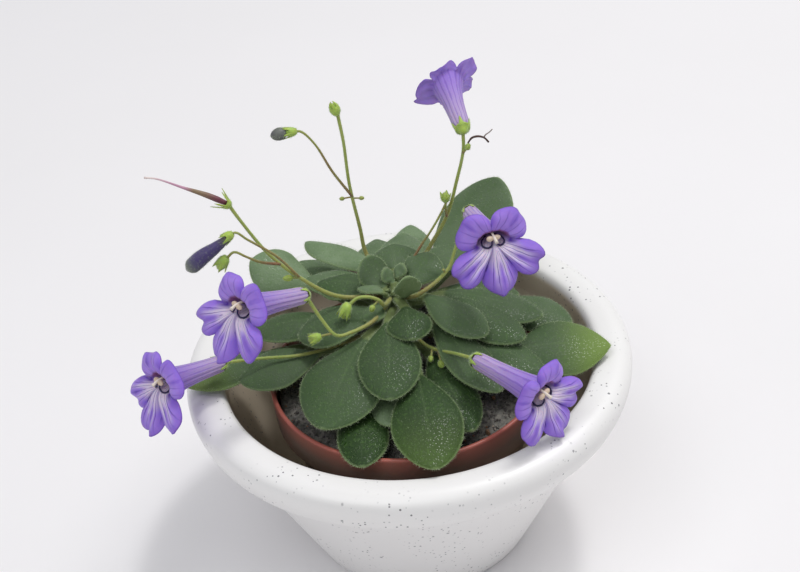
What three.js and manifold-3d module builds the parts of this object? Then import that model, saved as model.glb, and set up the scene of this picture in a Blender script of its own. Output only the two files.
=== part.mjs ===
// A potted Primulina petrocosmeoides in flower: a low rosette of round hairy leaves in a brown
// nursery pot, which stands inside a white pot with a rolled rim.
// Millimetres, +Z up. The origin is the middle of the white pot's flat base.
// The plant's front, where the pot rim shows best, faces -Y, and +X is to the right of it.
import * as THREE from "three";
import { mergeVertices } from "three/addons/utils/BufferGeometryUtils.js";
import Module from "manifold-3d";

const wasm = await Module();
wasm.setup();

// Driving sizes
const GAP = 0.3; // between pieces that touch on the real plant
const POT_HEIGHT = 60;
const POT_RADIUS = 60;
const POT_FOOT_RADIUS = 32.2;
const POT_INNER_EDGE_RADIUS = 49.7;
const POT_FLOOR = 2.4;
const NURSERY_PLACE = new THREE.Vector2(-0.5, -8.2); // it stands off the middle, towards the front
const NURSERY_RADIUS = 36.4;
const NURSERY_TOP = 59.4;
const NURSERY_WALL = 1.2;
const NURSERY_COLLAR = 10;
const NURSERY_FOOT_RADIUS = 20.8;
const SOIL_TOP = 55;
const SOIL_MOUND = 1.6;
const STEM = new THREE.Vector2(-2, 6); // where the plant's short stem stands in the pot
const STEM_RADIUS = 3.6;
const STEM_BOTTOM = 46;
const STEM_TOP = 77;
const LEAF_THICKNESS = 1.0;
const LEAF_CAMBER = 1.3; // how far the margins of a broad leaf bend below its middle
const STALK_HALF_WIDTH = 1.4;
const SCAPE_RADIUS = 0.65;
const PEDICEL_RADIUS = 0.5;
const TUBE_BASE_RADIUS = 2.3;
const THROAT_RADIUS = 4.9;
const THROAT_PINCH = 1.3; // how far the roof of the throat comes down at the mouth
const PETAL_THICKNESS = 0.8;
const CALYX_LENGTH = 3.2;

// Leaves, from the top of the rosette down. foot is the height at which the stalk leaves the stem,
// heel is where the blade starts, tip where it ends. arch lifts the middle of the blade, and roll
// turns it about its midrib, in degrees, to show more of its face to one side.
const LEAVES = [
  {
    name: "leaf_young_centre", foot: 75, heel: [0.9, 0.8, 76.3], tip: [1.7, -2.8, 84.6],
    width: 7.6, arch: -0.4,
  },
  { name: "leaf_young_left", foot: 76, heel: [-4.5, 4, 77], tip: [-8.2, 9.5, 84], width: 9.6, arch: -0.8 },
  { name: "leaf_young_right", foot: 75, heel: [3, 6, 76], tip: [9, 12.5, 81], width: 12.5, arch: 0.6 },
  {
    name: "leaf_young_front", foot: 74, heel: [0.5, -3.5, 75], tip: [1.6, -17, 74.7],
    width: 12, arch: 1.6,
  },
  { name: "leaf_young_back", foot: 74, heel: [-1, 13, 76], tip: [-1, 23.5, 77.5], width: 14, arch: 0.8 },
  {
    name: "leaf_front_upper", foot: 71, heel: [-4, -7, 73.5], tip: [-5.3, -33.6, 69.8],
    width: 16.2, arch: 1.8,
  },
  {
    name: "leaf_left_upper", foot: 73, heel: [-7.5, 7, 75], tip: [-22.5, 12.5, 74.5],
    width: 12, arch: 1.2,
  },
  {
    name: "leaf_right_upper", foot: 73, heel: [6, 1.5, 74.5], tip: [20.5, -14.5, 72],
    width: 12, arch: 1.6,
  },
  { name: "leaf_left_broad", foot: 71, heel: [-8, 0, 73], tip: [-28, -5.5, 70], width: 17, arch: 1.6 },
  { name: "leaf_back_right_upper", foot: 72, heel: [6, 15, 74], tip: [19.5, 26, 73], width: 13, arch: 1.2 },
  { name: "leaf_back_upper", foot: 71, heel: [0, 17, 73], tip: [2, 34, 74], width: 12.5, arch: 1 },
  {
    name: "leaf_front_left", foot: 68, heel: [-10.5, -9, 70.5], tip: [-22.5, -36.5, 65],
    width: 21.5, arch: 2,
  },
  { name: "leaf_right_second", foot: 70, heel: [9, 4, 71.5], tip: [30.5, -13, 68.5], width: 14, arch: 1.6 },
  {
    name: "leaf_left_second", foot: 71, heel: [-8, 13, 72], tip: [-26, 19.5, 71.5],
    width: 12.5, arch: 1.2,
  },
  { name: "leaf_back_left_long", foot: 70, heel: [-6, 17, 73], tip: [-26, 36, 73], width: 10, arch: 1.2 },
  {
    name: "leaf_front_right_long", foot: 68, heel: [7.5, -5, 70], tip: [22, -30, 66],
    width: 12, arch: 1.4,
  },
  { name: "leaf_right_third", foot: 68, heel: [11, 9, 69.5], tip: [36.5, -3, 68], width: 14, arch: 1.6 },
  {
    name: "leaf_back_right_raised", foot: 69, heel: [10.5, 22, 71], tip: [30.5, 38, 87],
    width: 24, arch: -1.5,
  },
  { name: "leaf_back_low", foot: 67, heel: [3, 22, 69], tip: [4.5, 43.5, 70.5], width: 12, arch: 1 },
  { name: "leaf_left_third", foot: 66, heel: [-18, 5, 67.5], tip: [-42, 5, 66], width: 13, arch: 1.2 },
  { name: "leaf_right_shaded", foot: 66, heel: [12, 14, 67], tip: [32, 11, 65.5], width: 15, arch: 1.2 },
  { name: "leaf_front_over_rim", foot: 64, heel: [2, -22, 67.5], tip: [4, -51, 61.8], width: 18, arch: 2 },
  {
    name: "leaf_left_raised", foot: 65, heel: [-24, 22, 67], tip: [-41.5, 27.5, 74],
    width: 15, arch: 0.5, roll: -25,
  },
  { name: "leaf_right_low", foot: 65, heel: [16, -9, 67], tip: [34, -21, 64], width: 13, arch: 1.2 },
  {
    name: "leaf_right_over_rim", foot: 63, heel: [27, -10, 64], tip: [53, -12, 63],
    width: 18.5, arch: 0.8, roll: 15, pointed: true,
  },
  { name: "leaf_left_low", foot: 63, heel: [-23, -6, 65], tip: [-44.5, -11, 62.3], width: 16.5, arch: 1.4 },
  { name: "leaf_right_bright", foot: 62, heel: [24, 12, 64], tip: [44.5, -1, 63], width: 15, arch: 1.4 },
  {
    name: "leaf_front_right_low", foot: 61, heel: [6, -11, 64.5], tip: [14, -38.5, 61.5],
    width: 13, arch: 1.2,
  },
  { name: "leaf_front_low", foot: 60, heel: [-5, -14, 63.5], tip: [-6, -35, 62.5], width: 11.5, arch: 0.8 },
  {
    name: "leaf_left_over_rim", foot: 60, heel: [-36, 0, 62], tip: [-58, -12, 62.5],
    width: 13, arch: 1.2, pointed: true,
  },
  {
    name: "leaf_front_left_low", foot: 60, heel: [-12, -21, 62], tip: [-13.5, -47, 61],
    width: 13, arch: 1,
  },
  { name: "leaf_back_lower_right", foot: 63, heel: [13, 25, 65], tip: [27, 43, 63], width: 15, arch: 1.4 },
  { name: "leaf_back_lower_middle", foot: 61, heel: [-4, 27, 65], tip: [-6, 49, 63], width: 15, arch: 1.4 },
  { name: "leaf_back_lower_left", foot: 62, heel: [-15, 24, 65], tip: [-29, 41, 63], width: 15, arch: 1.4 },
];

// The smallest leaves in the middle are one with the stem.
const BUDDING_ROWS = [0, 0.4, 0.8, 0.98];
const BUDDING_LEAVES = [
  { foot: 75, heel: [-2, 5, 77.5], tip: [-4, 6.5, 81.5], width: 4.6, arch: -0.3 },
  { foot: 74, heel: [-5, 2, 77], tip: [-11.5, 4.5, 77.2], width: 4, arch: 0.8 },
  { foot: 72, heel: [-5.5, 1.5, 73.5], tip: [-10.4, -5, 73.2], width: 7.5, arch: 0.6 },
  { foot: 75, heel: [-1, 7.5, 77.5], tip: [1, 9.5, 80.5], width: 4, arch: -0.2 },
];

// Flower stalks: the first line of each is the main stalk, the others branch from it.
const SCAPES = [
  {
    name: "flower_stalk_1",
    lines: [[[-5, 4, 65], [-16, -3, 65.5], [-28, -8, 66.5], [-38, -8.8, 67.3], [-47.6, -11, 68.8]]],
  },
  {
    name: "flower_stalk_2",
    lines: [
      [
        [-4, 2, 73], [-8, -6, 73.8], [-13.5, -11.5, 75], [-17.5, -14, 76.3], [-20.5, -13, 80.5],
        [-24, -11.5, 87.9],
      ],
      [[-18, -13.8, 77], [-20, -14.5, 77.2], [-22, -14.8, 77]],
    ],
  },
  {
    name: "flower_stalk_3",
    lines: [
      [
        [0, 4, 73], [4, 0.3, 76.2], [10, 3.5, 78.2], [13.3, 6.5, 80], [15, 9, 83], [17, 11, 87],
        [19.7, 11.5, 93.3],
      ],
      [[12, 5.5, 79], [11.5, 4.5, 80.6]],
    ],
  },
  {
    name: "flower_stalk_4",
    lines: [
      [[0, 2, 66], [5, -10, 67.2], [8.5, -14.5, 68.6], [12, -19, 70.8], [16.5, -25.2, 73.3]],
      [[8, -14, 68.4], [8.3, -16.5, 66.8]],
      [[6.5, -12, 67.8], [6, -14.5, 67]],
    ],
  },
  {
    name: "flower_stalk_5",
    lines: [
      [[0, 9, 72], [8.2, 16, 79.7], [14.2, 18, 89], [17.3, 19, 98.5], [19.6, 20, 107], [19.9, 21.1, 112.7]],
      [[0, 11, 74], [6.6, 14.5, 82.5], [9.2, 15, 86], [12, 16, 90], [15.2, 18, 95]],
      [[14, 17.8, 88.6], [13.8, 16.4, 91.8], [13.9, 15.6, 95]],
      [[19.5, 19.7, 106.5], [20.6, 19.3, 108]],
    ],
  },
  {
    name: "fruit_stalk_left",
    lines: [
      [[-5, 6, 73], [-17, 2.5, 76.8], [-26, 2.2, 84], [-33, 3, 91.5], [-39, 3.7, 102.3], [-41, 4, 106.5]],
      [[-26, 2.2, 84], [-31, 0.7, 92.3], [-37.5, -0.8, 99.2], [-40, -1.6, 102], [-42, -2, 101]],
      [[-30.5, 2.6, 88.5], [-35.2, -0.8, 92], [-38.3, -2, 94.8], [-41, -2.8, 97], [-43, -3, 95.6]],
      [[-26, 2.2, 84], [-28, 1.8, 84.5]],
    ],
  },
  {
    name: "bud_stalk_back",
    lines: [
      [[-3, 10, 73], [-8.5, 17.5, 79.2], [-9.5, 19, 87], [-11, 20, 100], [-11.3, 21, 112.5], [-12, 22, 120]],
      [[-10.6, 19.7, 96.5], [-15, 19, 105], [-18.5, 18, 114], [-21.6, 17, 118.6], [-23.4, 16.7, 119]],
    ],
  },
  {
    name: "young_buds_front",
    lines: [
      [[-3, 3, 74], [-5, -2.5, 76], [-6, -3, 78], [-8.5, -3, 79.4], [-11.5, -3, 79.4], [-14, -4, 78]],
      [[-6, -3, 78.2], [-7.6, -4, 77.2]],
    ],
  },
];

// Open flowers: base is the bottom of the tube, throat the middle of its mouth, and roll turns the
// two upper lobes about the tube, in degrees. reaches makes each of the five lobes shorter, and an
// opening under one makes them lean out less.
const FLOWERS = [
  { name: "flower_1", base: [-47.6, -11, 68.8], throat: [-61.9, -21.9, 72.2], roll: 1 },
  { name: "flower_2", base: [-24, -11.5, 87.9], throat: [-39, -23.8, 94.2], roll: -2 },
  { name: "flower_3", base: [19.7, 11.5, 93.3], throat: [23.8, -8.3, 96.5], roll: 2 },
  {
    name: "flower_4", base: [16.5, -25.2, 73.3], throat: [30.9, -41.4, 73.3], roll: 15,
    reaches: [0.85, 0.85, 0.85, 0.85, 0.85],
  },
  {
    name: "flower_5", base: [19.9, 21.1, 112.7], throat: [17.4, 40.9, 116], roll: -62,
    reaches: [0.42, 0.62, 0.5, 0.4, 0.95], opening: 0.85,
  },
];

// Small green buds and cups that are one with their stalk: middle, direction, length and width.
const GREEN_BUDS = {
  flower_stalk_2: [{ at: [-23, -15, 76.8], toward: [-1, -0.1, -0.2], length: 3.4, width: 2.6 }],
  flower_stalk_4: [
    { at: [8.4, -17, 66.2], toward: [0.1, -1, -0.6], length: 2.2, width: 1.9 },
    { at: [5.8, -15, 66.6], toward: [-0.2, -1, -0.4], length: 1.8, width: 1.5 },
  ],
  flower_stalk_5: [
    { at: [13.9, 15.6, 96], toward: [0, -0.1, 1], length: 2.8, width: 2.5 },
    { at: [20.8, 19.2, 108.4], toward: [0.4, -0.2, 1], length: 2, width: 1.6 },
  ],
  fruit_stalk_left: [
    { at: [-44.4, -3, 94.2], toward: [-0.6, 0, -0.8], length: 4.2, width: 3 },
    { at: [-29, 1.6, 84.6], toward: [-1, -0.2, 0.1], length: 2.8, width: 1.7 },
  ],
  bud_stalk_back: [
    { at: [-12.4, 20, 96], toward: [-1, 0, -0.1], length: 3.4, width: 1.1 },
    { at: [-9, 20, 95.6], toward: [1, 0, -0.1], length: 2.8, width: 1.1 },
  ],
  young_buds_front: [
    { at: [-15, -4.6, 76.8], toward: [-0.5, -0.3, -1], length: 4.4, width: 3 },
    { at: [-8, -4.3, 76.6], toward: [-0.4, -0.3, -1], length: 2, width: 1.6 },
  ],
};

// Cups of five narrow teeth, one with their stalk: bottom, direction, length and width.
const CUPS = {
  bud_stalk_back: [
    { at: [-12, 22, 119.6], toward: [0.15, 0, 1], length: 4.2, width: 2.7 },
    { at: [-22.6, 16.9, 118.9], toward: [-1, -0.15, 0.02], length: 3.8, width: 2.8 },
  ],
  fruit_stalk_left: [
    { at: [-40.6, 4, 106.2], toward: [-0.8, 0.1, 0.7], length: 3.2, width: 2.4 },
    { at: [-40.6, -1.8, 102], toward: [-0.85, -0.1, -0.5], length: 3.2, width: 2.8 },
  ],
};

// Leaf outline and posture
const BLADE_ROWS = [0, 0.2, 0.43, 0.66, 0.86, 0.98];
const ACROSS = [-1, -0.45, 0.45, 1];

// Colours and finishes
const material = (color, roughness) => new THREE.MeshStandardMaterial({ color, roughness, metalness: 0 });
const FINISH = {
  white_plastic: () => material(0xece9e4, 0.45),
  brown_plastic: () => material(0x7a4334, 0.6),
  soil: () => material(0x1e1a17, 1),
  leaf: () => material(0x3f6a38, 0.75),
  stalk: () => material(0x86a14f, 0.7),
  corolla: () => material(0x8b6fdc, 0.65),
  anther: () => material(0xe8d9b4, 0.6),
  dark_bud: () => material(0x3c2f63, 0.7),
  fruit: () => material(0x6d3a4d, 0.6),
  dried: () => material(0x5a3a2a, 0.8),
};

const vec = (a) => new THREE.Vector3(...a);

// A closed geometry as a solid: only its positions, with shared corners merged.
function solid(geometry) {
  const bare = geometry.clone();
  for (const attribute of Object.keys(bare.attributes)) {
    if (attribute !== "position") bare.deleteAttribute(attribute);
  }
  const merged = mergeVertices(bare.index ? bare : mergeVertices(bare, 1e-5), 1e-4);
  return new wasm.Manifold(
    new wasm.Mesh({
      numProp: 3,
      vertProperties: new Float32Array(merged.attributes.position.array),
      triVerts: new Uint32Array(merged.index.array),
    }),
  );
}

function geometryOf(body) {
  const { vertProperties, triVerts } = body.getMesh();
  const geometry = new THREE.BufferGeometry();
  geometry.setAttribute("position", new THREE.BufferAttribute(new Float32Array(vertProperties), 3));
  geometry.setIndex(new THREE.BufferAttribute(new Uint32Array(triVerts), 1));
  geometry.computeVertexNormals();
  return geometry;
}

// A closed body round rings of points, each ring counter-clockwise about the way to the next one,
// from a first point to a last one. From the ring turnAt on, the faces are split the other way.
function skin(first, rings, last, turnAt = rings.length) {
  const around = rings[0].length;
  const points = [first, ...rings.flat(), last];
  const at = (ring, k) => 1 + ring * around + (k % around);
  const end = rings.length - 1;
  const faces = [];
  for (let k = 0; k < around; k++) {
    faces.push(0, at(0, k + 1), at(0, k));
    for (let ring = 0; ring < end; ring++) {
      const [a, b, c, d] = [at(ring, k), at(ring, k + 1), at(ring + 1, k + 1), at(ring + 1, k)];
      if (ring < turnAt) faces.push(a, b, c, a, c, d);
      else faces.push(a, b, d, b, c, d);
    }
    faces.push(at(end, k), at(end, k + 1), points.length - 1);
  }
  const geometry = new THREE.BufferGeometry().setFromPoints(points);
  geometry.setIndex(faces);
  return solid(geometry);
}

const joined = (bodies) => bodies.reduce((whole, body) => whole.add(body));

const largest = (body) =>
  body.decompose().reduce((best, piece) => (piece.volume() > best.volume() ? piece : best));

const boxesMeet = (a, b) => {
  const p = a.boundingBox();
  const q = b.boundingBox();
  return [0, 1, 2].every((i) => p.min[i] <= q.max[i] && q.min[i] <= p.max[i]);
};

// What is left of a body where its neighbours, already grown by the gap, press into it.
function clearOf(body, neighbours) {
  let left = body;
  for (const other of neighbours) {
    if (boxesMeet(left, other)) left = left.subtract(other);
  }
  return largest(left);
}

// A solid of revolution about Z. The profile is a list of [radius, height].
function turned(profile, segments) {
  const points = profile.map(([radius, height]) => new THREE.Vector2(radius, height));
  return new THREE.LatheGeometry(points, segments).rotateX(Math.PI / 2);
}

// A round stalk through a list of points.
function stalk(points, radius, sides = 5, stepsPerPoint = 2) {
  const section = new THREE.Shape();
  for (let i = 0; i < sides; i++) {
    const turn = (2 * Math.PI * i) / sides;
    const corner = [radius * Math.cos(turn), radius * Math.sin(turn)];
    if (i === 0) section.moveTo(...corner);
    else section.lineTo(...corner);
  }
  section.closePath();
  const path = new THREE.CatmullRomCurve3(points.map(vec));
  const steps = Math.max(2, stepsPerPoint * (points.length - 1));
  return solid(new THREE.ExtrudeGeometry(section, { steps, extrudePath: path, bevelEnabled: false }));
}

// Turns a shape made along +Y to a direction and moves it to a place.
function aimed(shape, at, toward) {
  const turn = new THREE.Quaternion().setFromUnitVectors(new THREE.Vector3(0, 1, 0), vec(toward).normalize());
  return shape.applyQuaternion(turn).translate(...at);
}

// A small egg-shaped body with its length along a direction.
function egg({ at, toward, length, width }, grow = 0) {
  const shape = new THREE.SphereGeometry(0.5, 6, 4);
  shape.scale(width + 2 * grow, length + 2 * grow, width + 2 * grow);
  return solid(aimed(shape, at, toward));
}

// A cup with five teeth about +Z. Each ring is a list of the radius and height between the teeth and
// the radius and height in the middle of a tooth.
function crown(bottom, rings, floor) {
  const columns = [0, 1, 2, 3, 4, 5, 6, 7, 8, 9];
  const points = rings.map(([gapRadius, gapHeight, toothRadius, toothHeight]) =>
    columns.map((k) => {
      const turn = (2 * Math.PI * k) / columns.length;
      const radius = k % 2 ? toothRadius : gapRadius;
      const height = k % 2 ? toothHeight : gapHeight;
      return new THREE.Vector3(radius * Math.cos(turn), radius * Math.sin(turn), height);
    }),
  );
  return skin(new THREE.Vector3(0, 0, bottom), points, new THREE.Vector3(0, 0, floor));
}

// A small green cup with its bottom at a place.
function cup({ at, toward, length, width }) {
  const rings = [
    [0.3 * width, 0.05 * length, 0.3 * width, 0.05 * length],
    [0.48 * width, 0.5 * length, 0.56 * width, length],
    [0.2 * width, 0.5 * length, 0.34 * width, 0.9 * length],
  ];
  const upright = geometryOf(crown(0, rings, 0.42 * length)).rotateX(-Math.PI / 2);
  return solid(aimed(upright, at, toward));
}

// A closed sheet from a grid of middle points and normals, half thickness to each side, split into
// triangles alike on both faces.
function sheet(rows, normals, thickness) {
  const across = rows[0].length;
  const count = rows.length * across;
  const positions = [];
  for (const side of [1, -1]) {
    rows.forEach((row, i) =>
      row.forEach((point, j) => {
        const moved = point.clone().addScaledVector(normals[i][j], (side * thickness) / 2);
        positions.push(moved.x, moved.y, moved.z);
      }),
    );
  }
  const faces = [];
  const quad = (a, b, c, d) => faces.push(a, b, c, a, c, d);
  const top = (i, j) => i * across + j;
  const bottom = (i, j) => count + top(i, j);
  const last = rows.length - 1;
  const edge = across - 1;
  for (let i = 0; i < last; i++) {
    for (let j = 0; j < edge; j++) {
      quad(top(i, j), top(i, j + 1), top(i + 1, j + 1), top(i + 1, j));
      faces.push(bottom(i, j), bottom(i + 1, j + 1), bottom(i, j + 1));
      faces.push(bottom(i, j), bottom(i + 1, j), bottom(i + 1, j + 1));
    }
    quad(top(i, 0), top(i + 1, 0), bottom(i + 1, 0), bottom(i, 0));
    quad(top(i + 1, edge), top(i, edge), bottom(i, edge), bottom(i + 1, edge));
  }
  for (let j = 0; j < edge; j++) {
    quad(top(0, j + 1), top(0, j), bottom(0, j), bottom(0, j + 1));
    quad(top(last, j), top(last, j + 1), bottom(last, j + 1), bottom(last, j));
  }
  const geometry = new THREE.BufferGeometry();
  geometry.setAttribute("position", new THREE.Float32BufferAttribute(positions, 3));
  geometry.setIndex(faces);
  return solid(geometry);
}

// Half of the blade's width at a share of its length, as a share of its greatest half width.
function outline(share, pointed) {
  return pointed
    ? Math.sin(Math.PI * share ** 1.1) ** 0.8
    : Math.sin(Math.PI * share ** 1.25) ** 0.6;
}

// The four points that a leaf's midrib runs through: stem, heel, raised middle and tip.
function midribPoints({ foot, heel, tip, arch }) {
  const start = vec(heel);
  const end = vec(tip);
  const away = new THREE.Vector2(start.x, start.y).sub(STEM).normalize().multiplyScalar(STEM_RADIUS - 0.6);
  const middle = start.clone().lerp(end, 0.5);
  middle.z += arch;
  return [new THREE.Vector3(STEM.x + away.x, STEM.y + away.y, foot), start, middle, end];
}

// One leaf, as a body. grow thickens and widens it, for the room that its neighbours leave it.
function leaf(shape, grow = 0) {
  const path = new THREE.CatmullRomCurve3(midribPoints(shape));
  const stops = [{ at: 0, share: 0 }];
  for (const share of shape.rows ?? BLADE_ROWS) stops.push({ at: 1 / 3 + (share * 2) / 3, share });
  const rows = [];
  const normals = [];
  for (const { at, share } of stops) {
    const middle = path.getPoint(at);
    const along = path.getTangent(at);
    const side = new THREE.Vector3().crossVectors(along, new THREE.Vector3(0, 0, 1)).normalize();
    side.applyAxisAngle(along, THREE.MathUtils.degToRad(shape.roll ?? 0));
    const up = new THREE.Vector3().crossVectors(side, along);
    const wide = (shape.width / 2) * outline(share, shape.pointed);
    const half = Math.max(wide, share < 0.5 ? Math.min(STALK_HALF_WIDTH, shape.width / 5) : 0.5);
    const broad = Math.min(1, (2 * wide) / shape.width);
    const drop = LEAF_CAMBER * broad * Math.min(1, shape.width / 14);
    rows.push(
      ACROSS.map((u) =>
        middle
          .clone()
          .addScaledVector(side, u * (half + grow))
          .addScaledVector(up, -drop * u * u),
      ),
    );
    normals.push(ACROSS.map(() => up));
  }
  if (grow > 0) {
    const end = path.getTangent(1);
    rows[rows.length - 1].forEach((point) => point.addScaledVector(end, grow));
  }
  return sheet(rows, normals, LEAF_THICKNESS + 2 * grow);
}

// Moves a body made about +Z to a place, with its Z along a direction and its Y upwards, then
// turned about that direction.
function placement(origin, direction, roll) {
  const along = direction.clone().normalize();
  const side = new THREE.Vector3(0, 0, 1).cross(along).normalize();
  const up = new THREE.Vector3().crossVectors(along, side);
  const spin = new THREE.Matrix4().makeRotationZ(THREE.MathUtils.degToRad(roll));
  return new THREE.Matrix4().makeBasis(side, up, along).setPosition(origin).multiply(spin);
}

const flowerPlace = ({ base, throat, roll }) => placement(vec(base), vec(throat).sub(vec(base)), roll);
const tubeLength = ({ base, throat }) => vec(throat).distanceTo(vec(base));

// The flower's tube: stations along it as shares of its length, and its outer radius there.
const TUBE_SHARES = [0, 0.65, 1];
const tubeRadius = (share) =>
  TUBE_BASE_RADIUS + (THROAT_RADIUS - TUBE_BASE_RADIUS) * (0.35 * share + 0.65 * share ** 4);
const tubeProfile = (length, grow) => TUBE_SHARES.map((share) => [tubeRadius(share) + grow, share * length]);

// The five lobes: the middle of each as an angle, how far it reaches from the mouth of the tube,
// and how it leans out from the tube's direction at its foot and at its tip. NOTCHES are the angles
// between the lobes and the reach there. The two upper lobes are short and bend back, the three
// lower ones share a long lip that reaches forward.
const LOBES = [
  { turn: 143, reach: 6.4, lean: [50, 150] },
  { turn: 216, reach: 9.8, lean: [36, 110] },
  { turn: 270, reach: 10.2, lean: [26, 98] },
  { turn: 324, reach: 9.8, lean: [36, 110] },
  { turn: 397, reach: 6.4, lean: [50, 150] },
];
const WHOLE_REACHES = LOBES.map(() => 1);
const NOTCHES = [
  { turn: 90, reach: 1.6 },
  { turn: 186, reach: 2.3 },
  { turn: 241, reach: 5.9 },
  { turn: 299, reach: 5.9 },
  { turn: 354, reach: 2.3 },
  { turn: 450, reach: 1.6 },
];
const LOBE_COLUMNS = [-1, -0.62, 0, 0.62];
const LIMB_SHARES = [0.33, 0.68, 1];

// The columns round a flower: the angle, the reach of the limb and how it leans out from the tube.
function limbColumns() {
  const columns = [];
  LOBES.forEach((one, i) => {
    for (const across of LOBE_COLUMNS) {
      const notch = across < 0 ? NOTCHES[i] : NOTCHES[i + 1];
      const round = Math.sqrt(1 - Math.abs(across) ** 2.5);
      const beside = across < 0 ? LOBES[(i + 4) % 5] : LOBES[(i + 1) % 5];
      const mix = Math.abs(across) ** 3 / 2;
      columns.push({
        lobe: i,
        turn: THREE.MathUtils.lerp(one.turn, notch.turn, Math.abs(across)),
        reach: THREE.MathUtils.lerp(notch.reach, one.reach, round),
        lean: one.lean.map((angle, k) => THREE.MathUtils.lerp(angle, beside.lean[k], mix)),
      });
    }
  });
  return columns;
}

// How far the roof of the throat is drawn in, at a share of the tube and an angle round it.
const throatPinch = (share, turn) =>
  THROAT_PINCH * share ** 8 * Math.max(0, Math.sin(THREE.MathUtils.degToRad(turn))) ** 1.5;

// Middle points of the petal sheet and the direction into the flower, ring by ring.
function corollaRings(flower) {
  const length = tubeLength(flower);
  const columns = limbColumns();
  const rings = TUBE_SHARES.map((share) =>
    columns.map(({ turn }) => ({
      turn,
      radius: tubeRadius(share) - PETAL_THICKNESS / 2 - throatPinch(share, turn),
      height: share * length,
      lean: 4,
    })),
  );
  LIMB_SHARES.forEach((share, i) => {
    const from = i === 0 ? 0 : LIMB_SHARES[i - 1];
    const before = rings[rings.length - 1];
    rings.push(
      columns.map(({ lobe, turn, reach, lean }, k) => {
        const angle = THREE.MathUtils.lerp(lean[0], lean[1], (from + share) / 2) * (flower.opening ?? 1);
        const step = (share - from) * reach * (flower.reaches ?? WHOLE_REACHES)[lobe];
        return {
          turn,
          radius: before[k].radius + step * Math.sin(THREE.MathUtils.degToRad(angle)),
          height: before[k].height + step * Math.cos(THREE.MathUtils.degToRad(angle)),
          lean: angle,
        };
      }),
    );
  });
  return rings;
}

function corolla(flower) {
  const rings = corollaRings(flower);
  const [outside, inside] = [-1, 1].map((side) =>
    rings.map((ring) =>
      ring.map(({ turn, radius, height, lean }) => {
        const tilt = THREE.MathUtils.degToRad(lean);
        const r = radius - (side * Math.cos(tilt) * PETAL_THICKNESS) / 2;
        const z = height + (side * Math.sin(tilt) * PETAL_THICKNESS) / 2;
        const angle = THREE.MathUtils.degToRad(turn);
        return new THREE.Vector3(r * Math.cos(angle), r * Math.sin(angle), z);
      }),
    ),
  );
  const floor = new THREE.Vector3(0, 0, PETAL_THICKNESS);
  return skin(new THREE.Vector3(), [...outside, ...inside.reverse()], floor, outside.length);
}

// The room that a flower's tube takes up, for the stalk that ends below it.
function tubeRoom(flower) {
  const length = tubeLength(flower);
  return solid(turned([[0, -GAP], ...tubeProfile(length, GAP), [0, length]], 12));
}

// The green cup of narrow teeth that holds the tube and stays clear of it.
const CALYX_WALL = [
  [1, -1.5, 1, -1.5],
  [3.3, 0.1, 3.3, 0.1],
  [3.55, 0.8, 3.75, CALYX_LENGTH],
  [2.9, 0.8, 3.1, CALYX_LENGTH],
  [2.8, -GAP, 2.8, -GAP],
];
const calyx = () => crown(-1.6, CALYX_WALL, -GAP);

// Two curved filaments that meet in a pair of anthers at the mouth of the tube.
function stamens(flower) {
  const mouth = tubeLength(flower);
  const filaments = [-1, 1].map((side) =>
    stalk(
      [
        [1.6 * side, -1, mouth - 4.4],
        [2.2 * side, 0.2, mouth - 2],
        [1.3 * side, 1, mouth - 0.4],
        [0, 1.2, mouth],
      ],
      0.42,
      4,
      1,
    ),
  );
  const anthers = egg({ at: [0, 1.3, mouth + 0.2], toward: [1, 0, 0], length: 3.4, width: 1.6 });
  return joined([...filaments, anthers]);
}

// Puts a body made about +Z on its flower.
const onFlower = (body, flower) => solid(geometryOf(body).applyMatrix4(flowerPlace(flower)));

function outerPot() {
  const profile = [
    [0, 0], [POT_FOOT_RADIUS, 0], [53.6, 48.6], [54, 50.6], [54.9, 50.6], [55, 48.8], [55.8, 48.6],
    [58.4, 50.2], [59.7, 53.2], [POT_RADIUS, 56.2], [59, 58.7], [56.7, POT_HEIGHT], [53.4, POT_HEIGHT],
    [50.9, 59.2], [POT_INNER_EDGE_RADIUS, 57.4], [49.5, 50], [POT_FOOT_RADIUS - 2.4, POT_FLOOR], [0, POT_FLOOR],
  ];
  return solid(turned(profile, 44));
}

const nurseryBottom = POT_FLOOR + GAP;
const collarBottom = NURSERY_TOP - NURSERY_COLLAR;
const collarRadius = NURSERY_RADIUS - 0.5; // of the collar's lower edge
const bodyRadius = collarRadius - 1.6; // of the pot just under its collar

function nurseryPot() {
  const wall = NURSERY_WALL;
  const profile = [
    [0, nurseryBottom], [NURSERY_FOOT_RADIUS, nurseryBottom], [bodyRadius, collarBottom - 0.6],
    [collarRadius, collarBottom], [NURSERY_RADIUS, NURSERY_TOP], [NURSERY_RADIUS - wall, NURSERY_TOP],
    [collarRadius - wall, collarBottom + wall], [bodyRadius - wall, collarBottom],
    [NURSERY_FOOT_RADIUS - wall, nurseryBottom + wall], [0, nurseryBottom + wall],
  ];
  return solid(turned(profile, 40).translate(NURSERY_PLACE.x, NURSERY_PLACE.y, 0));
}

// Rough ground: a few waves of different size, the same on every run.
const lump = (x, y) =>
  0.5 * Math.sin(0.9 * x + 1.3) * Math.cos(0.7 * y) +
  0.35 * Math.sin(1.9 * x - 1.1 * y) +
  0.25 * Math.cos(2.7 * y + x);

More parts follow.
